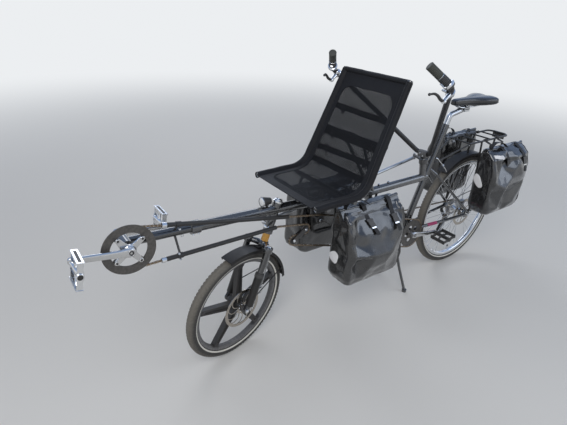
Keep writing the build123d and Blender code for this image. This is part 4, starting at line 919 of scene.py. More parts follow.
def cage_pedal(name, bottom, angle, side, upright, metal):
    """A cage pedal: two toothed rails held by end plates on a barrel, with a dark cap outside."""
    place = bottom + crank_aim(angle) * CRANK + ACROSS * (side * (CRANK_Y + PEDAL_OUT))
    form = Form(Matrix.Translation(place) @ Matrix.Rotation(math.radians(upright), 4, "Y"))
    out = ACROSS * side
    form.lathe(BARREL_PROFILE, (0, 0, 0), out, 32, capped=False)
    form.lathe(((8.6, 43.4), (7.4, 41.0), (1.0, 40.6)), (0, 0, 0), out, 28, paint=1)
    for way in (-1, 1):
        rail = []
        for k in range(13):
            y = -42 + 7 * k
            rail += [Vector((way * CAGE_HALF, y - 2.6, 9.2)), Vector((way * CAGE_HALF, y, 11.6))]
        under = [Vector((p.x, p.y, -p.z)) for p in reversed(rail)]
        form.plate(rail + under, FORWARD, 2.6)
        form.block((way * CAGE_HALF, 0, 0), ACROSS, UP, (70, 9, 3.4), 0.9, paint=1)
        for y in (-38.5, 38.5):
            edge = [Vector((way * x, y, z)) for x, z in CAGE_END]
            edge += [Vector((way * x, y, -z)) for x, z in reversed(CAGE_END)]
            form.plate(edge, ACROSS, 3.0)
        bridge = (((way * 6, -10, 0), ACROSS * 7.5, UP * 6.5),
                  ((way * 26, -4, 0), ACROSS * 4.0, UP * 4.6),
                  ((way * 43, 6, 0), ACROSS * 8.0, UP * 5.6))
        form.loft(bridge, 12, 2.4)
    form.make(name + "_cage", name, (metal, "moulded black"), "bare_metal", (name,), bevel=0.35)


class TANDEM_OT_cranks(bpy.types.Operator):
    """Builds the forged cranks, the spider and the cage pedals"""
    bl_idname = "tandem.cranks"
    bl_label = "Cranks and pedals"

    def execute(self, context):
        for name, body, node, bottom, left in CRANK_SETS:
            arms = Form()
            arms.lathe(((10, -66), (10, 66)), bottom, ACROSS, 32)
            for side, angle in ((1, left), (-1, left + 180)):
                forged_arm(arms, bottom, angle, side)
            if body == "front_cranks":
                spider(arms, bottom, 45 + left)
            arms.make(name, body, ("polished crank", "moulded black"), "bare_metal", (node,), smooth=50,
                      bevel=0.5)
        for name, bottom, angle, side, upright, metal in PEDALS:
            cage_pedal(name, bottom, angle, side, upright, metal)
        return {"FINISHED"}


# Seat: the sling follows the side tubes, whose middles run through these three places
SEAT_FRONT = Vector((1232, 200, 707))
SEAT_BEND = Vector((985, 204, 712))
SEAT_TOP = Vector((798, 180, 1135))
SEAT_BEND_CUT = 62.0  # the curve of the side tubes starts and ends this far from their corner
MESH_EDGE = 0.80  # where the mesh meets its border, as a share of half the width
SLEEVE_TURNS = (138, 112, 88, 62, 36, 8, -20, -50, -80, -110, -140, -165)  # degrees round a side tube
SEAT_STRAPS = (  # share of the sling's length, lean
    (0.415, 0.0), (0.505, 0.01), (0.60, 0.0), (0.765, -0.005),
)
TUBE_END_PROFILE = ((11.6, -8), (12.4, -6), (12.4, -1), (11.2, 1.6), (8.6, 2.2), (8.2, 0.6), (6.2, 0.6))


def seat_place(u, v, lift=0.0, sag=9.0):
    """A place on the sling: u from -1 to 1 across, v from 0 at the front to 1 at the top."""
    base, back = (SEAT_BEND - SEAT_FRONT).length, (SEAT_TOP - SEAT_BEND).length
    bend = SEAT_BEND_CUT
    along = v * (base + back)
    aim_base = (SEAT_BEND - SEAT_FRONT).normalized()
    aim_back = (SEAT_TOP - SEAT_BEND).normalized()
    if along < base - bend:
        rail, aim = SEAT_FRONT + aim_base * along, aim_base
    elif along > base + bend:
        rail, aim = SEAT_BEND + aim_back * (along - base), aim_back
    else:
        t = (along - base + bend) / (2 * bend)
        a, c = SEAT_BEND - aim_base * bend, SEAT_BEND + aim_back * bend
        rail = a * (1 - t) ** 2 + SEAT_BEND * (2 * t * (1 - t)) + c * t * t
        aim = (aim_base * (1 - t) + aim_back * t).normalized()
    out = Vector((aim.z, 0, -aim.x)).normalized()
    if out.z < -0.2 or (abs(out.z) <= 0.2 and out.x < 0):
        out = -out
    middle = 1 - u * u
    drop = -sag * middle * math.sin(math.pi * min(max(v, 0.02), 0.98)) ** 0.4
    return Vector((rail.x, rail.y * u, rail.z)) + out * (lift + drop)


class TANDEM_OT_seat(bpy.types.Operator):
    """Builds the seat's mesh sling, its cloth border, straps and tube ends"""
    bl_idname = "tandem.seat"
    bl_label = "Seat sling"

    def execute(self, context):
        settings = context.scene.tandem_seat
        sag = settings.sag
        long = (SEAT_BEND - SEAT_FRONT).length + (SEAT_TOP - SEAT_BEND).length
        net = Form()
        rows = []
        for j in range(73):
            v = 0.01 + 0.97 * j / 72
            rows.append([seat_place(-0.93 + 1.86 * i / 40, v, 0.0, sag) for i in range(41)])
        net.grid(rows)
        panel = net.make("sling_mesh", "frame", "sling mesh", "mesh", ("seat_sling",))
        layer = panel.data.uv_layers.new(name="cloth")
        for polygon in panel.data.polygons:
            for loop in polygon.loop_indices:
                index = panel.data.loops[loop].vertex_index
                layer.data[loop].uv = (0.38 * (index % 41) / 40, 0.70 * (index // 41) / 72)

        border = Form()
        for side in (-1, 1):
            rows = []
            for j in range(101):
                v = -0.008 + 1.0 * j / 100
                row = [seat_place(side * u, v, 1.4, sag) for u in (MESH_EDGE, 0.84, 0.88, 0.91)]
                # The cloth goes round the side tube as a sleeve
                rail = seat_place(side, v, 0.0, sag)
                out = (seat_place(side, v, 5.0, sag) - rail).normalized()
                for degrees in SLEEVE_TURNS:
                    w = math.radians(degrees)
                    swell = 13.2 + 1.2 * noise.noise(Vector((v * 14, side, w)))
                    row.append(rail + out * (swell * math.sin(w)) + ACROSS * (side * swell * math.cos(w)))
                row += [seat_place(side * u, v, -1.6, sag) for u in (0.96, 0.90, MESH_EDGE)]
                rows.append(row if side > 0 else list(reversed(row)))
            border.grid(rows, closed=True)
        for low, high in ((-0.008, 0.045), (0.90, 0.992)):
            rows = []
            for lift in (1.7, -1.9):
                for j in range(9):
                    v = low + (high - low) * (j if lift > 0 else 8 - j) / 8
                    rows.append([seat_place(-0.97 + 1.94 * i / 30, v, lift, sag) for i in range(31)])
            border.grid(rows, ring=True)
        # A sleeve goes round the bar at the top of the back
        top = SEAT_BEND.lerp(SEAT_TOP, 0.985)
        sleeve = [Vector((top.x, top.y * (k / 15 - 1), top.z)) for k in range(31)]
        border.tube(sleeve, [10.6 + 0.8 * noise.noise(p * 0.03) for p in sleeve], 20)
        # The corners of the open mesh are rounded
        for side in (-1, 1):
            for v0, way in ((0.045, 1), (0.90, -1)):
                corner = []
                for lift in (1.9, -2.1):
                    fan = [seat_place(side * MESH_EDGE, v0, lift, sag)]
                    for k in range(9):
                        w = math.radians(90 * k / 8)
                        u = MESH_EDGE - 0.26 * (1 - math.sin(w))
                        fan.append(seat_place(side * u, v0 + way * 0.075 * (1 - math.cos(w)), lift, sag))
                    corner.append(fan)
                first, second = corner
                count = len(first)
                faces = [tuple(range(count)), tuple(reversed(range(count, 2 * count)))]
                for i in range(count):
                    n = (i + 1) % count
                    faces.append((i, n, count + n, count + i))
                border.add(first + second, faces)
        cloth = border.make("sling_border", "frame", "border cloth", "mesh")

        straps = Form()
        half_wide = 12.5
        for v, lean in SEAT_STRAPS:
            rows = []
            for lift, way in ((-9.0, -1), (-9.0, 1), (-10.4, 1), (-10.4, -1)):
                row = []
                for i in range(31):
                    u = -0.9 + 1.8 * i / 30
                    along = v + lean * u + way * half_wide / long
                    row.append(seat_place(u, along, lift - 5 * (1 - u * u), sag))
                rows.append(row)
            straps.grid(rows, ring=True)
            for side in (-1, 1):
                place = seat_place(side * 0.62, v, -13.0, sag)
                along = (seat_place(side * 0.7, v, -13.0, sag) - place).normalized()
                across = (seat_place(side * 0.62, v + 0.01, -13.0, sag) - place).normalized()
                straps.block(place, along, across, (22, 32, 4.5), 0.9, paint=1)
                end = seat_place(side * 0.55, v - 0.035, -17.0, sag)
                tongue = (place + across * 11, place - across * 11, end - across * 10, end + across * 10)
                straps.plate(tongue, along.cross(across), 1.4)
        straps.make("sling_straps", "frame", ("webbing", "moulded black"), "mesh", bevel=0.3)

        caps = Form()
        for side in (-1, 1):
            tip = Vector((SEAT_FRONT.x, side * SEAT_FRONT.y, SEAT_FRONT.z))
            aim = Vector((tip.x - SEAT_BEND.x, 0, tip.z - SEAT_BEND.z)).normalized()
            caps.lathe(TUBE_END_PROFILE, tip, aim, 32)
            caps.lathe(((6.2, 0.4), (5.0, 1.8), (2.0, 2.4)), tip, aim, 24, paint=1)
        caps.make("seat_tube_ends", "frame", ("bright metal", "moulded black"), "bare_metal")
        return {"FINISHED"}


# Luggage: a bag is a stack of sections whose cloth is pushed in and out by flat facets

# Share of height, then rear and front end, inner and outer face, all as shares of the bag's size
BAG_SECTIONS = (
    (0.000, 0.20, 0.82, 0.14, 0.66),
    (0.020, 0.10, 0.90, 0.06, 0.84),
    (0.065, 0.035, 0.965, 0.02, 0.95),
    (0.150, 0.01, 0.99, 0.00, 1.00),
    (0.420, 0.00, 1.00, 0.00, 1.00),
    (0.700, 0.00, 1.00, 0.00, 1.00),
    (0.860, 0.00, 1.00, 0.02, 0.90),
    (0.930, 0.00, 1.00, 0.08, 0.72),
    (0.975, 0.005, 0.995, 0.14, 0.48),
)
FRONT_FACETS = (  # corners of the flat facets on the outer face: x, z and how far each stands out
    (742, 648, 0), (850, 650, 4), (950, 650, 2), (1050, 648, 0), (742, 612, -8), (797, 612, -18),
    (900, 604, -26), (985, 601, -24), (1050, 597, -8), (742, 520, 0), (765, 510, 8), (1023, 503, -8),
    (1050, 520, 4), (845, 440, 25), (867, 396, 20), (940, 446, 24), (1034, 458, 15), (961, 386, 14),
    (998, 412, -12), (780, 400, 8), (742, 400, -4), (1050, 400, 6), (905, 350, 2), (1000, 340, 0),
    (840, 330, 6), (742, 300, 0), (860, 300, 0), (960, 300, 0), (1050, 300, 0),
)
REAR_FACETS = (
    (-225, 746, 0), (-75, 746, 4), (72, 746, 0), (72, 694, -8), (-15, 653, -20), (-150, 600, 14),
    (-225, 660, 0), (-225, 560, 4), (-11, 542, 20), (72, 582, 8), (30, 610, -8), (-80, 590, 10),
    (68, 519, -12), (-88, 485, -14), (3, 435, 10), (-150, 440, 6), (-225, 450, -2), (72, 440, 2),
    (-225, 385, 0), (-75, 385, 0), (72, 385, 0), (-120, 690, 6), (20, 700, 4),
)
STRAPS = ((0.20, -4.0), (0.66, -26.0))  # share of the bag's length, lean of the strap's foot
# The handle's arch: back from its front end, out and up from the roll
HANDLE = ((-14, 8, 4), (-10, 9, 20), (10, 11, 36), (46, 14, 34), (78, 18, 24), (104, 22, 4))
BAG_CORNER = 24.0  # radius of a bag's upright corners
BAG_TOP = 0.975  # the share of a bag's height at which its cloth ends under the roll
LONG_STEPS, SHORT_STEPS, CORNER_STEPS = 42, 17, 5  # steps along a section's sides and corners


def facets(points):
    """A height field of flat triangles between scattered points."""
    flat = [Vector((a, b)) for a, b, _ in points]
    _, _, triangles, *_ = geometry.delaunay_2d_cdt(flat, [], [], 0, 0.001)

    def height(a, b):
        place = Vector((a, b))
        for i, j, k in triangles:
            p, q, r = flat[i], flat[j], flat[k]
            whole = (q - p).cross(r - p)
            u, v = (q - place).cross(r - place) / whole, (r - place).cross(p - place) / whole
            if u > -1e-4 and v > -1e-4 and u + v < 1.0001:
                return u * points[i][2] + v * points[j][2] + (1 - u - v) * points[k][2]
        return 0.0

    return height


def loose_facets(a0, a1, b0, b1, step, size, seed):
    """Facets between points of a shaken grid, for the faces that the photograph doesn't show."""
    points = []
    for i in range(-1, int((a1 - a0) / step) + 3):
        for j in range(-1, int((b1 - b0) / step) + 3):
            shake = noise.cell_vector(Vector((i + 0.5, j + 0.5, seed)))
            points.append((a0 + step * (i + 0.8 * shake.x), b0 + step * (j + 0.8 * shake.y),
                           size * (2 * shake.z - 1)))
    return facets(points)


def round_box(x0, x1, y0, y1, radius):
    """Places round an upright box with rounded corners, each with the way it faces."""
    left, right, near, far = x0 + radius, x1 - radius, y0 + radius, y1 - radius
    middles = [Vector(place) for place in ((right, far), (left, far), (left, near), (right, near))]
    ring = []
    for i, middle in enumerate(middles):
        for k in range(CORNER_STEPS + 1):
            a = math.radians(90 * i + 90 * k / CORNER_STEPS)
            way = Vector((math.cos(a), math.sin(a)))
            ring.append((middle + way * radius, way))
        count = SHORT_STEPS if i % 2 else LONG_STEPS
        for k in range(1, count):
            ring.append((middle.lerp(middles[(i + 1) % 4], k / count) + way * radius, way))
    return ring


class Bag:
    """One roll-top bag: where its coated cloth lies."""

    def __init__(self, sizes, side, table, crumple, seed):
        self.x0, self.x1, self.y0, self.y1, self.z0, self.z1 = sizes
        self.side, self.crumple, self.seed = side, crumple, seed
        self.outer = facets(table)
        self.end = loose_facets(self.y0, self.y1, self.z0, self.z1, 62.0, 9.0, seed)
        self.small = loose_facets(self.x0, self.x1, self.z0, self.z1, 44.0, 3.2, seed + 9)

    def section(self, share):
        for a, b in zip(BAG_SECTIONS, BAG_SECTIONS[1:]):
            if a[0] <= share <= b[0] + 1e-9:
                t = (share - a[0]) / (b[0] - a[0])
                t = t * t * (3 - 2 * t) if share > 0.1 else t
                return [p + (q - p) * t for p, q in zip(a, b)]
        return BAG_SECTIONS[-1]

    def push(self, x, y, z, way):
        """How far the cloth stands in or out of the plain box."""
        outward = min(max(way.y * 1.4 - 0.2, 0.0), 1.0)
        out = outward * (self.outer(x, z) * self.crumple / 9.0 + self.small(x, z))
        ends = abs(way.x) ** 1.5 * (self.end(y, z) - 2.0)
        back = min(0.0, self.small(x, z) - 3.0) if way.y < -0.6 else 0.0
        soft = 1.2 * noise.noise(Vector((x, z, y + self.seed)) * 0.02)
        return out + ends + back + soft - 8.0 * max(way.y, 0.0)

    def skin(self, x, z, lift=1.5):
        """A place on the outer face."""
        share = (z - self.z0) / (self.z1 - self.z0)
        y = self.y0 + (self.y1 - self.y0) * self.section(share)[4]
        return Vector((x, self.side * (y + self.push(x, y, z, Vector((0, 1))) + lift), z))

    def front_end(self, y, z, lift=0.0):
        """A place on the front end, round its outer and inner corners too."""
        over = max(self.y0 + BAG_CORNER - y, y - (self.y1 - BAG_CORNER), 0.0)
        round_x = self.x1 - BAG_CORNER + math.sqrt(max(BAG_CORNER ** 2 - over ** 2, 0.0))
        push = self.push(self.x1, y, z, Vector((1, 0)))
        return Vector((round_x + push + lift, self.side * y, z))

    def rows(self):
        """The cloth from foot to roll, with its folds softened twice."""
        high = 56
        rows = []
        for j in range(high + 1):
            share = BAG_TOP * j / high
            part = self.section(share)
            z = self.z0 + (self.z1 - self.z0) * share
            ends = [self.x0 + (self.x1 - self.x0) * part[i] for i in (1, 2)]
            sides = [self.y0 + (self.y1 - self.y0) * part[i] for i in (3, 4)]
            radius = min(BAG_CORNER, (sides[1] - sides[0]) * 0.4)
            fade = min(share / 0.06, 1.0)
            row = []
            for p, w in round_box(*ends, *sides, radius):
                row.append((p, w, self.push(p.x, p.y, z, w) * fade, z))
            rows.append(row)
        count = len(rows[0])
        for _ in range(2):
            pushes = [[q[2] for q in row] for row in rows]
            for j in range(1, high):
                for i in range(count):
                    near = pushes[j - 1][i] + pushes[j + 1][i]
                    near += pushes[j][i - 1]
                    near += pushes[j][(i + 1) % count]
                    p, w, _, z = rows[j][i]
                    rows[j][i] = (p, w, 0.5 * pushes[j][i] + 0.125 * near, z)
        placed = []
        for row in rows:
            line = []
            for p, w, push, z in row:
                line.append(Vector((p.x + w.x * push, self.side * (p.y + w.y * push), z)))
            placed.append(line if self.side > 0 else list(reversed(line)))
        return placed


def band(form, line, across, wide, thick, paint=0):
    """A flat strap along a line, its width along across."""
    rows = []
    for i, p in enumerate(line):
        aim = (line[min(i + 1, len(line) - 1)] - line[max(i - 1, 0)]).normalized()
        out = across.cross(aim).normalized() * thick
        half = across * (wide / 2)
        rows.append([p - half, p + half, p + half + out, p - half + out])
    form.grid(rows, closed=True, paint=paint)
    form.add(rows[0], [(3, 2, 1, 0)], paint)
    form.add(rows[-1], [(0, 1, 2, 3)], paint)


def pannier(name, node, sizes, side, table, crumple, seed):
    """A roll-top bag of coated cloth that hangs in large creased facets."""
    x0, x1, y0, y1, _, z1 = sizes
    cloth = Bag(sizes, side, table, crumple, seed)
    form = Form()
    rows = cloth.rows()
    form.grid(rows, closed=True)
    count = len(rows[0])
    for row, order in ((rows[0], 1), (rows[-1], -1)):
        middle = sum(row, Vector()) / count
        form.add(row + [middle], [(count, (i + 1) % count, i)[::order] for i in range(count)])
    bag = form.make(name, "frame", "tarpaulin", "tarpaulin", (node,), smooth=80)

    trim = Form()
    top_z, top_y = z1 - 9, y0 + (y1 - y0) * 0.34
    roll = []
    for k in range(33):
        t = k / 32
        x = x0 - 4 + (x1 - x0 + 8) * t
        sag = 7 * math.sin(math.pi * t) + 3.5 * noise.noise(Vector((x * 0.03, seed, 0)))
        roll.append(Vector((x, side * (top_y + sag * 0.6), top_z - sag)))
    thick = [13 + 1.6 * noise.noise(Vector((k * 0.35, seed, 2))) for k in range(33)]
    trim.tube(roll, thick, 18, flat=0.66)
    flap = []
    for k in range(33):
        t = k / 32
        x = x0 - 2 + (x1 - x0 + 4) * t
        dip = 4 * noise.noise(Vector((x * 0.018, seed, 5)))
        line = ((9, 4), (18 + dip * 0.5, -6), (27 + dip, -18), (33 + dip, -34 + dip),
                (31 + dip, -34 + dip), (25 + dip, -19), (15, -8), (6, 2))
        flap.append([Vector((x, side * (top_y + out), top_z + up)) for out, up in line])
    trim.grid(flap if side > 0 else list(reversed(flap)), closed=True)
    seam = []
    corner = LONG_STEPS + 2 * CORNER_STEPS - 1  # the seam runs down the outer corner at the back
    for row in rows[3:-1]:
        pick = corner if side > 0 else count - 1 - corner
        aim = Vector((row[pick].x - (x0 + x1) / 2, row[pick].y - side * (y0 + y1) / 2, 0)).normalized()
        seam.append(row[pick] + aim * 0.6)
    band(trim, seam, Vector((-0.7, side * 0.7, 0)), 13, -1.6)
    trim.make(name + "_roll", "frame", "tarpaulin", "tarpaulin", smooth=60)

    straps = Form()
    for share, lean in STRAPS:
        x = x0 + (x1 - x0) * share
        line = [Vector((x, side * (top_y - 12), top_z + 4)),
                Vector((x, side * (top_y + 2), top_z + 12)),
                Vector((x + lean * 0.2, side * (top_y + 24), top_z + 1)),
                cloth.skin(x + lean * 0.6, z1 - 44, 3.0),
                cloth.skin(x + lean, z1 - 74, 3.0)]
        line = smooth_line(line, 6)
        band(straps, line, FORWARD * side, 22, -1.6)
        end, aim = line[-1], (line[-1] - line[-3]).normalized()
        out = aim.cross(FORWARD * side).normalized()
        face = out if out.y * side > 0 else -out
        straps.block(end + aim * 8 + face * 2, aim, FORWARD, (30, 29, 7), 0.8, paint=1)
        straps.block(end + aim * 25 + face * 2, aim, FORWARD, (9, 24, 5), 0.8, paint=2)
        straps.block(end - aim * 11 + face * 2, aim, FORWARD, (10, 33, 6), 0.85, paint=1)
        loose = [end + aim * 22 + face, end + aim * 40 + face * 7, end + aim * 62 + face * 6]
        band(straps, smooth_line(loose, 5), FORWARD * side, 20, -1.4)
    x = x1 - 40
    arch = [Vector((x - a, side * (top_y + out), top_z + up)) for a, out, up in HANDLE]
    band(straps, smooth_line(arch, 6), ACROSS * side, 20, 1.6)
    straps.make(name + "_straps", "frame", ("webbing", "moulded black", "bright metal"), None, bevel=0.5)
    return cloth


PANNIERS = (  # name, x range, inner and outer y, z range, facets
    ("front", (735, 1062, 97, 238, 290, 648), FRONT_FACETS),
    ("rear", (-231, 80, 96.5, 227, 378, 746), REAR_FACETS),
)
HOOKS = (-62, 45)  # places of a bag's two hooks, from its middle
RACK_RAILS = {"front": (88, 641, 6.5), "rear": (60, 752, 5.0)}  # y, z and radius of a hook's rail
PATCHES = {  # corners of the pale patch on each bag's front end: y and z
    "front": ((104, 422), (139, 450), (168, 438), (163, 393), (126, 401)),
    "rear": ((106, 574), (115, 609), (140, 600), (169, 546), (144, 531)),
}


def pale_patches(name, cloth):
    """The plain pale patch on a bag's front end, and the small strip on the rear bag's outer face."""
    patches = Form()
    outline = [Vector(c) for c in PATCHES[name]]
    for _ in range(2):
        after = outline[1:] + outline[:1]
        outline = [p.lerp(q, share) for p, q in zip(outline, after) for share in (0.2, 0.8)]
    middle = sum(outline, Vector((0, 0))) / len(outline)
    rings = []
    for share, lift in ((1.0, -1.0), (1.0, 1.2), (0.93, 2.0), (0.5, 2.2), (0.1, 2.2)):
        ring = [middle + (p - middle) * share for p in outline]
        rings.append([cloth.front_end(p.x, p.y, lift) for p in ring])
    patches.grid(rings, closed=True)
    patches.add(rings[-1], [tuple(range(len(rings[-1])))])
    if name == "rear":
        strip = []
        for j in range(4):
            strip.append([cloth.skin(66 - 8.0 * i, 722 - 5 * j - 1.0 * i, 2.5) for i in range(9)])
        patches.grid(strip)
    patches.make(name + "_pale_patch", "frame", "reflector white", None)


class TANDEM_OT_luggage(bpy.types.Operator):
    """Builds the four roll-top bags with their straps, hooks and pale patches"""
    bl_idname = "tandem.luggage"
    bl_label = "Luggage"

    def execute(self, context):
        settings = context.scene.tandem_luggage
        for name, sizes, table in PANNIERS:
            for side, word in ((1, "left"), (-1, "right")):
                node = f"{name}_{word}_pannier"
                seed = 3.0 * side + len(name)
                cloth = pannier(node + "_bag", node, sizes, side, table, settings.crumple,
                                seed)
                hooks = Form()
                x0, x1, y0, _, _, z1 = sizes
                rail_y, rail_z, rail = RACK_RAILS[name]
                for along in HOOKS:
                    x = (x0 + x1) / 2 + along
                    hook = []
                    for degrees in range(-30, 211, 20):
                        w = math.radians(degrees)
                        out, up = (rail + 2.5) * math.cos(w), (rail + 2.5) * math.sin(w)
                        hook.append(Vector((x, side * (rail_y + out), rail_z + up)))
                    hook.insert(0, Vector((x, side * (y0 + 1), z1 - 66)))
                    hook.insert(1, Vector((x, side * (y0 - 2), rail_z - 12)))
                    for shift in (-8, -3, 3, 8):
                        hooks.tube([p + FORWARD * shift for p in hook], 2.1, 8)
                hooks.make(node + "_hooks", "frame", "moulded black", "black_plastic")
                if side > 0:
                    pale_patches(name, cloth)
        return {"FINISHED"}


# Saddle
SADDLE_SECTIONS = (  # x, half width, top z, bottom z
    (236, 9, 972, 958), (232, 16, 978, 952), (215, 19, 981.5, 948), (170, 22, 982, 944),
    (120, 28, 982, 941), (80, 42, 982.5, 940), (40, 61, 983.5, 940), (0, 74, 984, 941),
    (-25, 78, 983.5, 943), (-40, 72, 981, 947), (-48, 54, 974, 955),
)
SADDLE_RAIL = (  # the left rail, from nose to tail
    (206, 8, 950), (186, 11, 940), (168, 15, 937.5), (120, 19, 937), (70, 22, 937.5), (40, 27, 943),
    (14, 34, 952),
)
RAIL_RADIUS = 3.5


class TANDEM_OT_saddle(bpy.types.Operator):
    """Builds the saddle with its seam, shell and rails"""
    bl_idname = "tandem.saddle"
    bl_label = "Saddle"

    def execute(self, context):
        form = Form()
        lines = [smooth_line([(s[0], s[k], 0) for s in SADDLE_SECTIONS], 4) for k in (1, 2, 3)]
        rows = []
        for half, top, foot in zip(*lines):
            x, wide, high, low = half.x, half.y, top.y, foot.y
            row = []
            for k in range(40):
                a = 2 * math.pi * k / 40
                c, s = math.cos(a), math.sin(a)
                y = wide * math.copysign(abs(c) ** 0.62, c)
                if s >= 0:
                    z = (high + low) / 2 + (high - low) / 2 * abs(s) ** 0.55
                    z -= 3.5 * math.exp(-(y / 9) ** 2) * min(max((120 - x) / 60, 0), 1)
                else:
                    z = (high + low) / 2 - (high - low) / 2 * abs(s) ** 0.45
                row.append(Vector((x, y, z)))
            rows.append(row)
        form.grid(rows, closed=True)
        form.add(rows[0], [tuple(range(40))])
        form.add(rows[-1], [tuple(reversed(range(40)))])
        skin = form.make("saddle_cover", "frame", "saddle skin", "saddle_cover", ("saddle",), smooth=60)
        under = Form()
        for side in (-1, 1):
            seam = [Vector((h.x, side * (h.y + 0.6), (t.y + f.y) / 2 - 6)) for h, t, f in zip(*lines)]
            under.tube(seam[1:-1], 1.3, 6, paint=1)
            rail = [Vector(p) * Vector((1, side, 1)) for p in SADDLE_RAIL]
            under.tube(smooth_line(rail, 5), RAIL_RADIUS, 12)
        under.block((140, 0, 933), FORWARD, ACROSS, (34, 50, 14), 0.9, paint=2)
        for side in (-1, 1):
            under.bolt((140, side * 16, 940), UP, 3.5, 3, paint=0)
        under.make("saddle_rails", "frame", ("bright metal", "border cloth", "moulded black"),
                   "bare_metal", bevel=0.4)
        return {"FINISHED"}


# Grips and levers
BAR_CORNER = Vector((776, 295, 1125))
BAR_END = Vector((847, 235, 1198))
BAR_ROOT = Vector((393, 34, 732))
FLANGE_PROFILE = ((11.7, 4), (16.5, 4.5), (19.0, 7), (19.6, 12), (11.7, 13))
SHIFTER_PROFILE = (
    (11.7, 12), (19.6, 12), (21.6, 14), (21.6, 20), (20.2, 22.5), (16.0, 24), (11.7, 24.5),
)
GRIP_RING_PROFILE = ((15.9, 60.6), (16.4, 61.0), (16.4, 62.4), (15.7, 62.8), (11.7, 62.8))
LEVER_CLAMP_PROFILE = ((11.8, -11), (15.8, -11), (16.6, -9.5), (16.6, 9.5), (15.8, 11), (11.8, 11))
GRIP_RIB, SHIFTER_RIB = 63, 28  # where the ribs start along the grip
RIB_PITCH = 5.4
LEVER_PIVOT = (793, 281.5, 1076)
BLADE_PATH = ((815, 280, 1085), (831, 277, 1099), (846, 271, 1107), (862, 261, 1105))


class TANDEM_OT_controls(bpy.types.Operator):
    """Builds the ribbed grips, twist shifters and lever details"""
    bl_idname = "tandem.controls"
    bl_label = "Grips and levers"

    def execute(self, context):
        rubber, blades = Form(BARS), Form(BARS)
        metal = Form(BARS)
        grip_aim = (BAR_END - BAR_CORNER).normalized()
        arm_aim = (BAR_CORNER - BAR_ROOT).normalized()
        for side in (-1, 1):
            flip = Vector((1, side, 1))
            aim = grip_aim * flip
            start = BAR_CORNER * flip
            profile = [(11.7, 62)]
            for k in range(10):
                a = GRIP_RIB + k * RIB_PITCH
                profile += [(15.2, a), (15.9, a + 0.8), (15.9, a + 3.6), (15.2, a + 4.3), (14.3, a + 4.7)]
            profile += [(16.2, 117), (16.2, 120), (14.0, 121.5), (4.0, 122)]
            rubber.lathe(profile, start, aim, 40)
            profile = [(11.7, 24), (16.5, 24.5), (16.8, 27)]
            for k in range(6):
                a = SHIFTER_RIB + k * RIB_PITCH
                profile += [(16.4, a), (16.6, a + 3.2), (15.0, a + 3.8), (15.0, a + 4.8)]
            profile += [(15.6, 60.5), (11.8, 61)]
            rubber.lathe(profile, start, aim, 40, paint=1)
            rubber.lathe(FLANGE_PROFILE, start, aim, 40, paint=1)
            metal.lathe(SHIFTER_PROFILE, start, aim, 40)
            metal.lathe(GRIP_RING_PROFILE, start, aim, 40)
            out = FORWARD * 0.75 - ACROSS * (0.5 * side)
            out = (out - aim * out.dot(aim)).normalized()
            metal.block(start + aim * 34 + out * 16.8, aim, aim.cross(out) * side, (22, 11, 5), 0.8)
            clamp = (BAR_CORNER - arm_aim * 33) * flip
            metal.lathe(LEVER_CLAMP_PROFILE, clamp, arm_aim * flip, 32)
            metal.bolt(clamp + Vector((-12, 0, 10)), Vector((-0.7, 0, 0.7)), 3.2, 3.0)
            body = [clamp, clamp + Vector((14, side * 1, -10)), Vector((786, side * 281, 1082)),
                    Vector((794, side * 281.5, 1075))]
            metal.tube(smooth_line(body, 5), [12 - 4.0 * k / 15 for k in range(16)], 16, flat=0.85)
            pivot = Vector(LEVER_PIVOT) * flip
            metal.lathe(((8.0, -7), (8.6, -6), (8.6, 6), (8.0, 7)), pivot, FORWARD, 24)
            metal.bolt(pivot + FORWARD * 7, FORWARD, 4.2, 2.5)
            barrel = clamp + Vector((10, side * -12, 2))
            metal.tube((barrel, barrel + Vector((3, side * -16, 5))), (4.4, 3.4), 12)
            path = smooth_line([pivot] + [Vector(p) * flip for p in BLADE_PATH], 6)
            last = len(path) - 1
            blades.tube(path, [6.8 - 2.4 * k / last for k in range(last + 1)], 14, flat=0.75)
            blades.ball(path[-1], 5.6)
        blades.make("brake_blades", "handlebar", "moulded black", "black_plastic", ("brake_levers",),
                    smooth=60)
        rubber.make("grips_ribbed", "handlebar", ("grip rubber", "moulded black"), "grip_rubber",
                    ("bar_grips",), smooth=30)
        metal.make("lever_fittings", "handlebar", "bright metal", "bare_metal")
        return {"FINISHED"}


# Fittings
TUBE_MOUTH_PROFILE = ((8.3, -16), (9.6, -15), (9.6, -2), (9.2, 0.6), (7.6, 0.8), (7.2, -3))
TUBE_CLIP_PROFILE = ((8.3, -6), (9.3, -5.5), (9.3, 5.5), (8.3, 6))
HEAD_LOW, HEAD_HIGH = 349, 460  # the head tube's ends along the steering axis
HEADSET_PROFILE = ((13.4, -7), (19.5, -6), (22.0, -4), (22.0, 2), (19.6, 5))
HEADSET_CAP_PROFILE = ((15.5, 0), (17.5, 1), (17.5, 5), (14, 8), (6, 8.5), (5, 6))
FORK_TUBE_PROFILE = (
    (13.0, -194), (13.0, -12), (16.6, -12), (18.0, -9), (18.2, 9), (17.0, 12), (14.0, 13.5), (12.0, 13.5),
)
STEERER_PROFILE = ((14.0, -13), (19.0, -12), (20.5, -8), (20.0, 9), (17.5, 14), (15.0, 15), (14.0, 186))
FORK_SEAL_PROFILE = ((13.4, 0), (17.6, 0.5), (18.2, 3), (17.0, 8), (13.4, 9.5))
FORK_CAP_PROFILE = ((12, 0), (12.5, 2), (9, 6), (4, 6.5))
FORK_AHEAD, FORK_SIDE = 32.0, 57.0  # a fork leg's place in front of and beside the steering axis
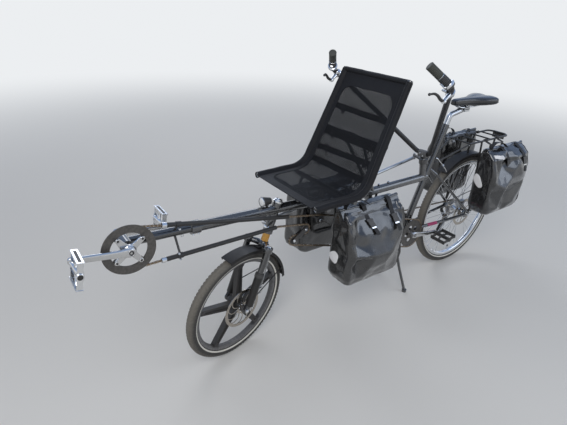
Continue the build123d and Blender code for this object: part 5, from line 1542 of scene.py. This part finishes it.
SIDE_BOLTS = (  # x, y and z on the left, the way it faces there, radius and height: one on each side
    ((110, 60, 746), -UP, 3.4, 2.5),
    ((-4, 84.8, 349), ACROSS, 4.0, 3.4),
    ((-15, 81.0, 340), ACROSS, 3.2, 3.0),
    ((502, 18, 270), ACROSS, 6.0, 4.0),
    ((880, 95.0, 641), ACROSS, 3.6, 3.0),
    ((985, 95.0, 641), ACROSS, 3.6, 3.0),
)
MAGENTA_SLEEVE = ((300, 38.5, 322.3), (236, 47.7, 324.0))
GUARD_STAY = ((313, 20, 699), (296, 26, 688), (232, 28, 632), (214, 28.5, 611))
LAMP_FACE = (1335.5, 0, 681)
LENS_RING_PROFILE = ((18.6, 0), (20.6, 0.5), (20.6, 3.0), (18.8, 4.0))
LENS_PROFILE = ((18.8, 1.0), (17.0, 3.2), (12.0, 4.8), (6.0, 5.6), (1.0, 5.8))


class TANDEM_OT_fittings(bpy.types.Operator):
    """Adds the bolts, nuts, rings, clips and lens that show close up"""
    bl_idname = "tandem.fittings"
    bl_label = "Fittings"

    def execute(self, context):
        fixed = Form()
        upper, lower = run_between(TIMING[0], TIMING[1]), run_between(TIMING[5], TIMING[0])

        def on_run(run, x):
            (ax, az), (bx, bz) = run
            return Vector((x, CHAIN_Y, az + (bz - az) * (x - ax) / (bx - ax)))

        for run, x in ((upper, 1757), (lower, 1767)):
            aim = (on_run(run, x) - on_run(run, x - 100)).normalized()
            fixed.lathe(TUBE_MOUTH_PROFILE, on_run(run, x), aim, 32, capped=False)
        for run, x in ((upper, 1700), (lower, 1700)):
            aim = (on_run(run, x) - on_run(run, x - 100)).normalized()
            fixed.lathe(TUBE_CLIP_PROFILE, on_run(run, x), aim, 32, paint=1, capped=False)
        for side in (-1, 1):
            flip = Vector((1, side, 1))
            fixed.nut((0, side * 79.5, 330), ACROSS * side, 8.0, 6.0)
            for place, way, radius, height in SIDE_BOLTS:
                fixed.bolt(Vector(place) * flip, way * flip, radius, height)
        tape = [Vector(MAGENTA_SLEEVE[0]).lerp(Vector(MAGENTA_SLEEVE[1]), k / 4) for k in range(5)]
        fixed.tube(tape, 9.0, 24, paint=2)
        fixed.tube(smooth_line(GUARD_STAY, 5), 3.0, 12)
        fixed.bolt((253, 28, 652), (0.5, 0.8, 0.4), 5.0, 4.0)
        for x in (1611, 1631):
            fixed.bolt((x, 10, 627), (0.15, 0.5, -1), 4.0, 4.5)
            fixed.nut((x, -10, 627), (0.15, -0.5, -1), 4.4, 4.0)
        for x in (620, 684):
            fixed.bolt((x, 0, 623.4), UP, 5.0, 3.0)
        fixed.bolt((1673, 6, 637), (0, 0.25, -1), 5.5, 8.0)
        for x, z in ((1700, 691), (1708, 597), (1704, 573)):
            fixed.bolt((x, 59, z), ACROSS, 4.2, 4.0)
        for x, z, r in ((1078, 562, 7.5), (1211, 501, 6.5), (1153, 537, 6.5)):
            pulley_bolt = ((r, 0), (r, 2.0), (r * 0.85, 3.0), (r * 0.5, 3.0), (r * 0.45, 1.0))
            fixed.lathe(pulley_bolt, (x, CHAIN_Y + 8, z), ACROSS, 24)
        for x, z in ((18, 262), (62, 196)):
            fixed.bolt((x, DRIVE_Y - 9, z), -ACROSS, 4.5, 3.5)
        fixed.make("frame_bolts", "frame", ("bright metal", "moulded black", "magenta tape"),
                   "bare_metal")

        heads = Form()
        for t, sign in ((HEAD_LOW, 1), (HEAD_HIGH, -1)):
            cup = [(radius, along * sign) for radius, along in HEADSET_PROFILE]
            heads.lathe(cup, head(t), HEAD_AXIS, 40, capped=False)
        heads.lathe(HEADSET_CAP_PROFILE, head(465), HEAD_AXIS, 32)
        heads.make("headset_cups", "frame", "bright metal", "bare_metal")

        crown = Form(STEER)
        arch = []
        for k in range(25):
            share = k / 12 - 1
            arch.append(head(275 - 3 * abs(share), FORK_AHEAD * abs(share) ** 1.7, FORK_SIDE * share))
        crown.tube(arch, [11.5 + 3.5 * (1 - abs(k / 12 - 1)) for k in range(25)], 20)
        for side in (-1, 1):
            crown.lathe(FORK_TUBE_PROFILE, head(274, FORK_AHEAD, side * FORK_SIDE), HEAD_AXIS, 36)
        crown.lathe(STEERER_PROFILE, head(274), HEAD_AXIS, 40)
        crown.make("fork_crown_forged", "fork", "frame paint", "black_frame", ("fork_crown",), smooth=50)

        forks = Form(STEER)
        for side in (-1, 1):
            forks.nut((1457, side * 61.5, 250), ACROSS * side, 7.5, 6.0)
            forks.lathe(FORK_SEAL_PROFILE, head(164, FORK_AHEAD, side * FORK_SIDE), HEAD_AXIS, 36,
                        capped=False, paint=1)
            forks.lathe(FORK_CAP_PROFILE, head(284, FORK_AHEAD, side * FORK_SIDE), HEAD_AXIS, 28)
            forks.bolt(head(58, FORK_AHEAD, side * 69), ACROSS * side, 3.6, 3.0)
        hose = [Vector((1378, 40, 332)), Vector((1386, 52, 352)), head(128, 6, 62), head(190, 8, 60),
                head(246, 6, 52), head(270, 2, 38)]
        forks.tube(smooth_line(hose, 8), 2.6, 12, paint=2)
        forks.bolt((1373, 45, 326), ACROSS, 4.5, 4.0)
        forks.bolt((1373, 45, 292), ACROSS, 4.5, 4.0)
        forks.bolt((1384, 43.5, 308), ACROSS, 3.5, 3.0, paint=1)
        forks.bolt(head(275, 13, 0), HEAD_FORWARD, 4.5, 4.0)
        forks.make("fork_bolts", "fork", ("bright metal", "moulded black", "hose grey"), "bare_metal")

        rotor = Form(STEER)
        for k in range(6):
            a = math.radians(60 * k + 20)
            rotor.bolt(FRONT_HUB + Vector((math.cos(a) * 18, 35.5, math.sin(a) * 18)), ACROSS, 2.8, 2.2)
        rotor.make("front_rotor_bolts", "front_wheel", "bright metal", "bare_metal")

        bars = Form(BARS)
        for x, z in ((-8, 6), (8, -6)):
            bars.bolt((bar_x(728) + 19, x, 728 + z), (1, 0, 0.2), 3.2, 3.5)
        ring = ((14, 0), (15.2, 1), (15.2, 6), (14, 7))
        bars.lathe(ring, (bar_x(700), 0, 700), BAR_AXIS, 32, capped=False)
        bars.make("stem_bolts", "handlebar", "bright metal", "bare_metal")

        lens = Form()
        aim = Vector((1, 0, 0.02)).normalized()
        lens.lathe(LENS_RING_PROFILE, LAMP_FACE, aim, 40, capped=False, paint=1)
        lens.lathe(LENS_PROFILE, LAMP_FACE, aim, 40)
        lens.bolt((1312, 9, 664), ACROSS, 4.0, 4.0, paint=1)
        lens.make("lamp_lens", "frame", ("lamp glass", "bright metal"), "bare_metal")
        return {"FINISHED"}


# Stage
FLOOR_HALF = 120.0  # metres
FADE_FROM, FADE_TO = 2.0, 7.5  # metres from the bicycle between which the floor fades away
PALE_DISTANCE = (0.84, 0.86, 0.88, 1)
BLUE_OVERHEAD = (0.34, 0.46, 0.70, 1)
BLUE_RISE = 0.32  # how steeply one looks up where the sky has turned blue
SENSOR, FOCAL_PIXELS, PHOTO_PIXELS = 36.0, 448.60, 567.0


class TANDEM_OT_stage(bpy.types.Operator):
    """Sets the floor, the soft lamps and the camera"""
    bl_idname = "tandem.stage"
    bl_label = "Stage"

    def execute(self, context):
        settings = context.scene.tandem_stage
        mesh = bpy.data.meshes.new("stage_floor")
        corners = [(x * FLOOR_HALF, y * FLOOR_HALF, 0) for x, y in ((-1, -1), (1, -1), (1, 1), (-1, 1))]
        mesh.from_pydata(corners, [], [(0, 1, 2, 3)])
        floor = bpy.data.objects.new("stage_floor", mesh)
        context.scene.collection.objects.link(floor)
        material = bpy.data.materials.new("pale floor")
        material.use_nodes = True
        tree = material.node_tree
        shader = tree.nodes["Principled BSDF"]
        grain = node_of(tree, "ShaderNodeTexNoise", "floor grain", in_2=90.0, in_3=4.0)
        tint = node_of(tree, "ShaderNodeMix", "pale tint", data_type="RGBA")
        tint.inputs[6].default_value = (0.74, 0.735, 0.72, 1)
        tint.inputs[7].default_value = (0.80, 0.795, 0.785, 1)
        tree.links.new(grain.outputs[0], tint.inputs[0])
        tree.links.new(tint.outputs[2], shader.inputs["Base Color"])
        shader.inputs["Roughness"].default_value = 0.75
        far = node_of(tree, "ShaderNodeEmission", "distance")
        far.inputs[0].default_value = PALE_DISTANCE
        place = tree.nodes.new("ShaderNodeTexCoord")
        away = node_of(tree, "ShaderNodeVectorMath", "from the bicycle", operation="LENGTH")
        tree.links.new(place.outputs["Object"], away.inputs[0])
        fade = node_of(tree, "ShaderNodeMapRange", "fades far away", in_1=FADE_FROM, in_2=FADE_TO)
        fade.interpolation_type = "SMOOTHSTEP"
        tree.links.new(away.outputs["Value"], fade.inputs[0])
        blend = tree.nodes.new("ShaderNodeMixShader")
        tree.links.new(fade.outputs[0], blend.inputs[0])
        tree.links.new(shader.outputs[0], blend.inputs[1])
        tree.links.new(far.outputs[0], blend.inputs[2])
        tree.links.new(blend.outputs[0], tree.nodes["Material Output"].inputs["Surface"])
        mesh.materials.append(material)

        world = bpy.data.worlds.new("studio")
        context.scene.world = world
        world.use_nodes = True
        tree = world.node_tree
        ground = tree.nodes["Background"]
        ground.inputs[0].default_value = (0.86, 0.91, 1.0, 1)
        ground.inputs[1].default_value = 0.40
        white = node_of(tree, "ShaderNodeBackground", "white backdrop")
        white.inputs[1].default_value = 1.0
        aim = tree.nodes.new("ShaderNodeTexCoord")
        split = tree.nodes.new("ShaderNodeSeparateXYZ")
        tree.links.new(aim.outputs["Generated"], split.inputs[0])
        rise = node_of(tree, "ShaderNodeMapRange", "height of the sky", in_1=0.0, in_2=BLUE_RISE)
        tree.links.new(split.outputs[2], rise.inputs[0])
        sky = node_of(tree, "ShaderNodeMix", "white to pale blue overhead", data_type="RGBA")
        sky.inputs[6].default_value = PALE_DISTANCE
        sky.inputs[7].default_value = BLUE_OVERHEAD
        tree.links.new(rise.outputs[0], sky.inputs[0])
        tree.links.new(sky.outputs[2], white.inputs[0])
        path = tree.nodes.new("ShaderNodeLightPath")
        seen = maths(tree, "MAXIMUM", path.outputs["Is Camera Ray"], path.outputs["Is Glossy Ray"])
        seen = maths(tree, "MAXIMUM", seen, path.outputs["Is Transmission Ray"])
        mix = tree.nodes.new("ShaderNodeMixShader")
        tree.links.new(seen, mix.inputs[0])
        tree.links.new(ground.outputs[0], mix.inputs[1])
        tree.links.new(white.outputs[0], mix.inputs[2])
        tree.links.new(mix.outputs[0], tree.nodes["World Output"].inputs["Surface"])

        def lamp(name, power, place, target, size, colour=(1, 1, 1)):
            data = bpy.data.lights.new(name, "AREA")
            data.energy = power
            data.shape = "RECTANGLE"
            data.size, data.size_y = size
            data.color = colour
            made = bpy.data.objects.new(name, data)
            made.location = place
            aim = Vector(target) - Vector(place)
            made.rotation_euler = aim.to_track_quat("-Z", "Y").to_euler()
            context.scene.collection.objects.link(made)

        lamp("key_lamp", settings.key, (2.6, 2.4, 3.4), (0, 0, 0.5), (2.2, 2.2), (1.0, 0.97, 0.92))
        lamp("fill_lamp", settings.fill, (-2.6, 2.6, 2.2), (-0.2, 0, 0.5), (2.4, 1.6), (0.86, 0.92, 1.0))
        lamp("back_lamp", settings.fill, (-1.0, -3.2, 2.8), (0, 0, 0.6), (2.4, 1.2))

        data = bpy.data.cameras.new("camera")
        data.sensor_width = SENSOR
        data.lens = FOCAL_PIXELS * SENSOR / PHOTO_PIXELS
        data.clip_end = 200.0
        camera = bpy.data.objects.new("camera", data)
        right = Vector((-0.8204502, 0.5702082, 0.0415227))
        down = Vector((0.2216944, 0.3842501, -0.8962162))
        ahead = Vector((-0.5269849, -0.7260954, -0.4416700))
        spot = TO_ROW @ Vector((2194.45, 1327.59, 1418.69))
        camera.matrix_world = Matrix((
            (right.x, -down.x, -ahead.x, spot.x), (right.y, -down.y, -ahead.y, spot.y),
            (right.z, -down.z, -ahead.z, spot.z), (0, 0, 0, 1),
        ))
        context.scene.collection.objects.link(camera)
        context.scene.camera = camera
        context.scene.view_settings.view_transform = "Standard"
        return {"FINISHED"}


# Steps, settings and the panel
STEPS = (
    "finishes", "tyres", "rear_wheel", "chains", "cranks", "seat", "luggage", "saddle", "controls",
    "fittings", "stage",
)


class TANDEM_PT_panel(bpy.types.Panel):
    """Lists the steps that dress the bicycle"""
    bl_label = "Tandem"
    bl_idname = "TANDEM_PT_panel"
    bl_space_type = "VIEW_3D"
    bl_region_type = "UI"
    bl_category = "Tandem"

    def draw(self, context):
        for name, _ in GROUPS:
            settings = getattr(context.scene, name)
            for key in settings.__annotations__:
                self.layout.prop(settings, key)
        for step in STEPS:
            self.layout.operator("tandem." + step)


GROUPS = (
    ("tandem_finish", FinishSettings), ("tandem_wheel", WheelSettings),
    ("tandem_luggage", LuggageSettings), ("tandem_seat", SeatSettings), ("tandem_stage", StageSettings),
)
OPERATORS = (
    TANDEM_OT_finishes, TANDEM_OT_tyres, TANDEM_OT_rear_wheel, TANDEM_OT_chains, TANDEM_OT_cranks,
    TANDEM_OT_seat, TANDEM_OT_luggage, TANDEM_OT_saddle, TANDEM_OT_controls, TANDEM_OT_fittings,
    TANDEM_OT_stage,
)


def register():
    for name, group in GROUPS:
        bpy.utils.register_class(group)
        setattr(bpy.types.Scene, name, PointerProperty(type=group))
    for made in OPERATORS + (TANDEM_PT_panel,):
        bpy.utils.register_class(made)


def unregister():
    for made in reversed(OPERATORS + (TANDEM_PT_panel,)):
        bpy.utils.unregister_class(made)
    for name, group in reversed(GROUPS):
        delattr(bpy.types.Scene, name)
        bpy.utils.unregister_class(group)


def main():
    register()
    for step in STEPS:
        getattr(bpy.ops.tandem, step)()


if __name__ == "__main__":
    main()
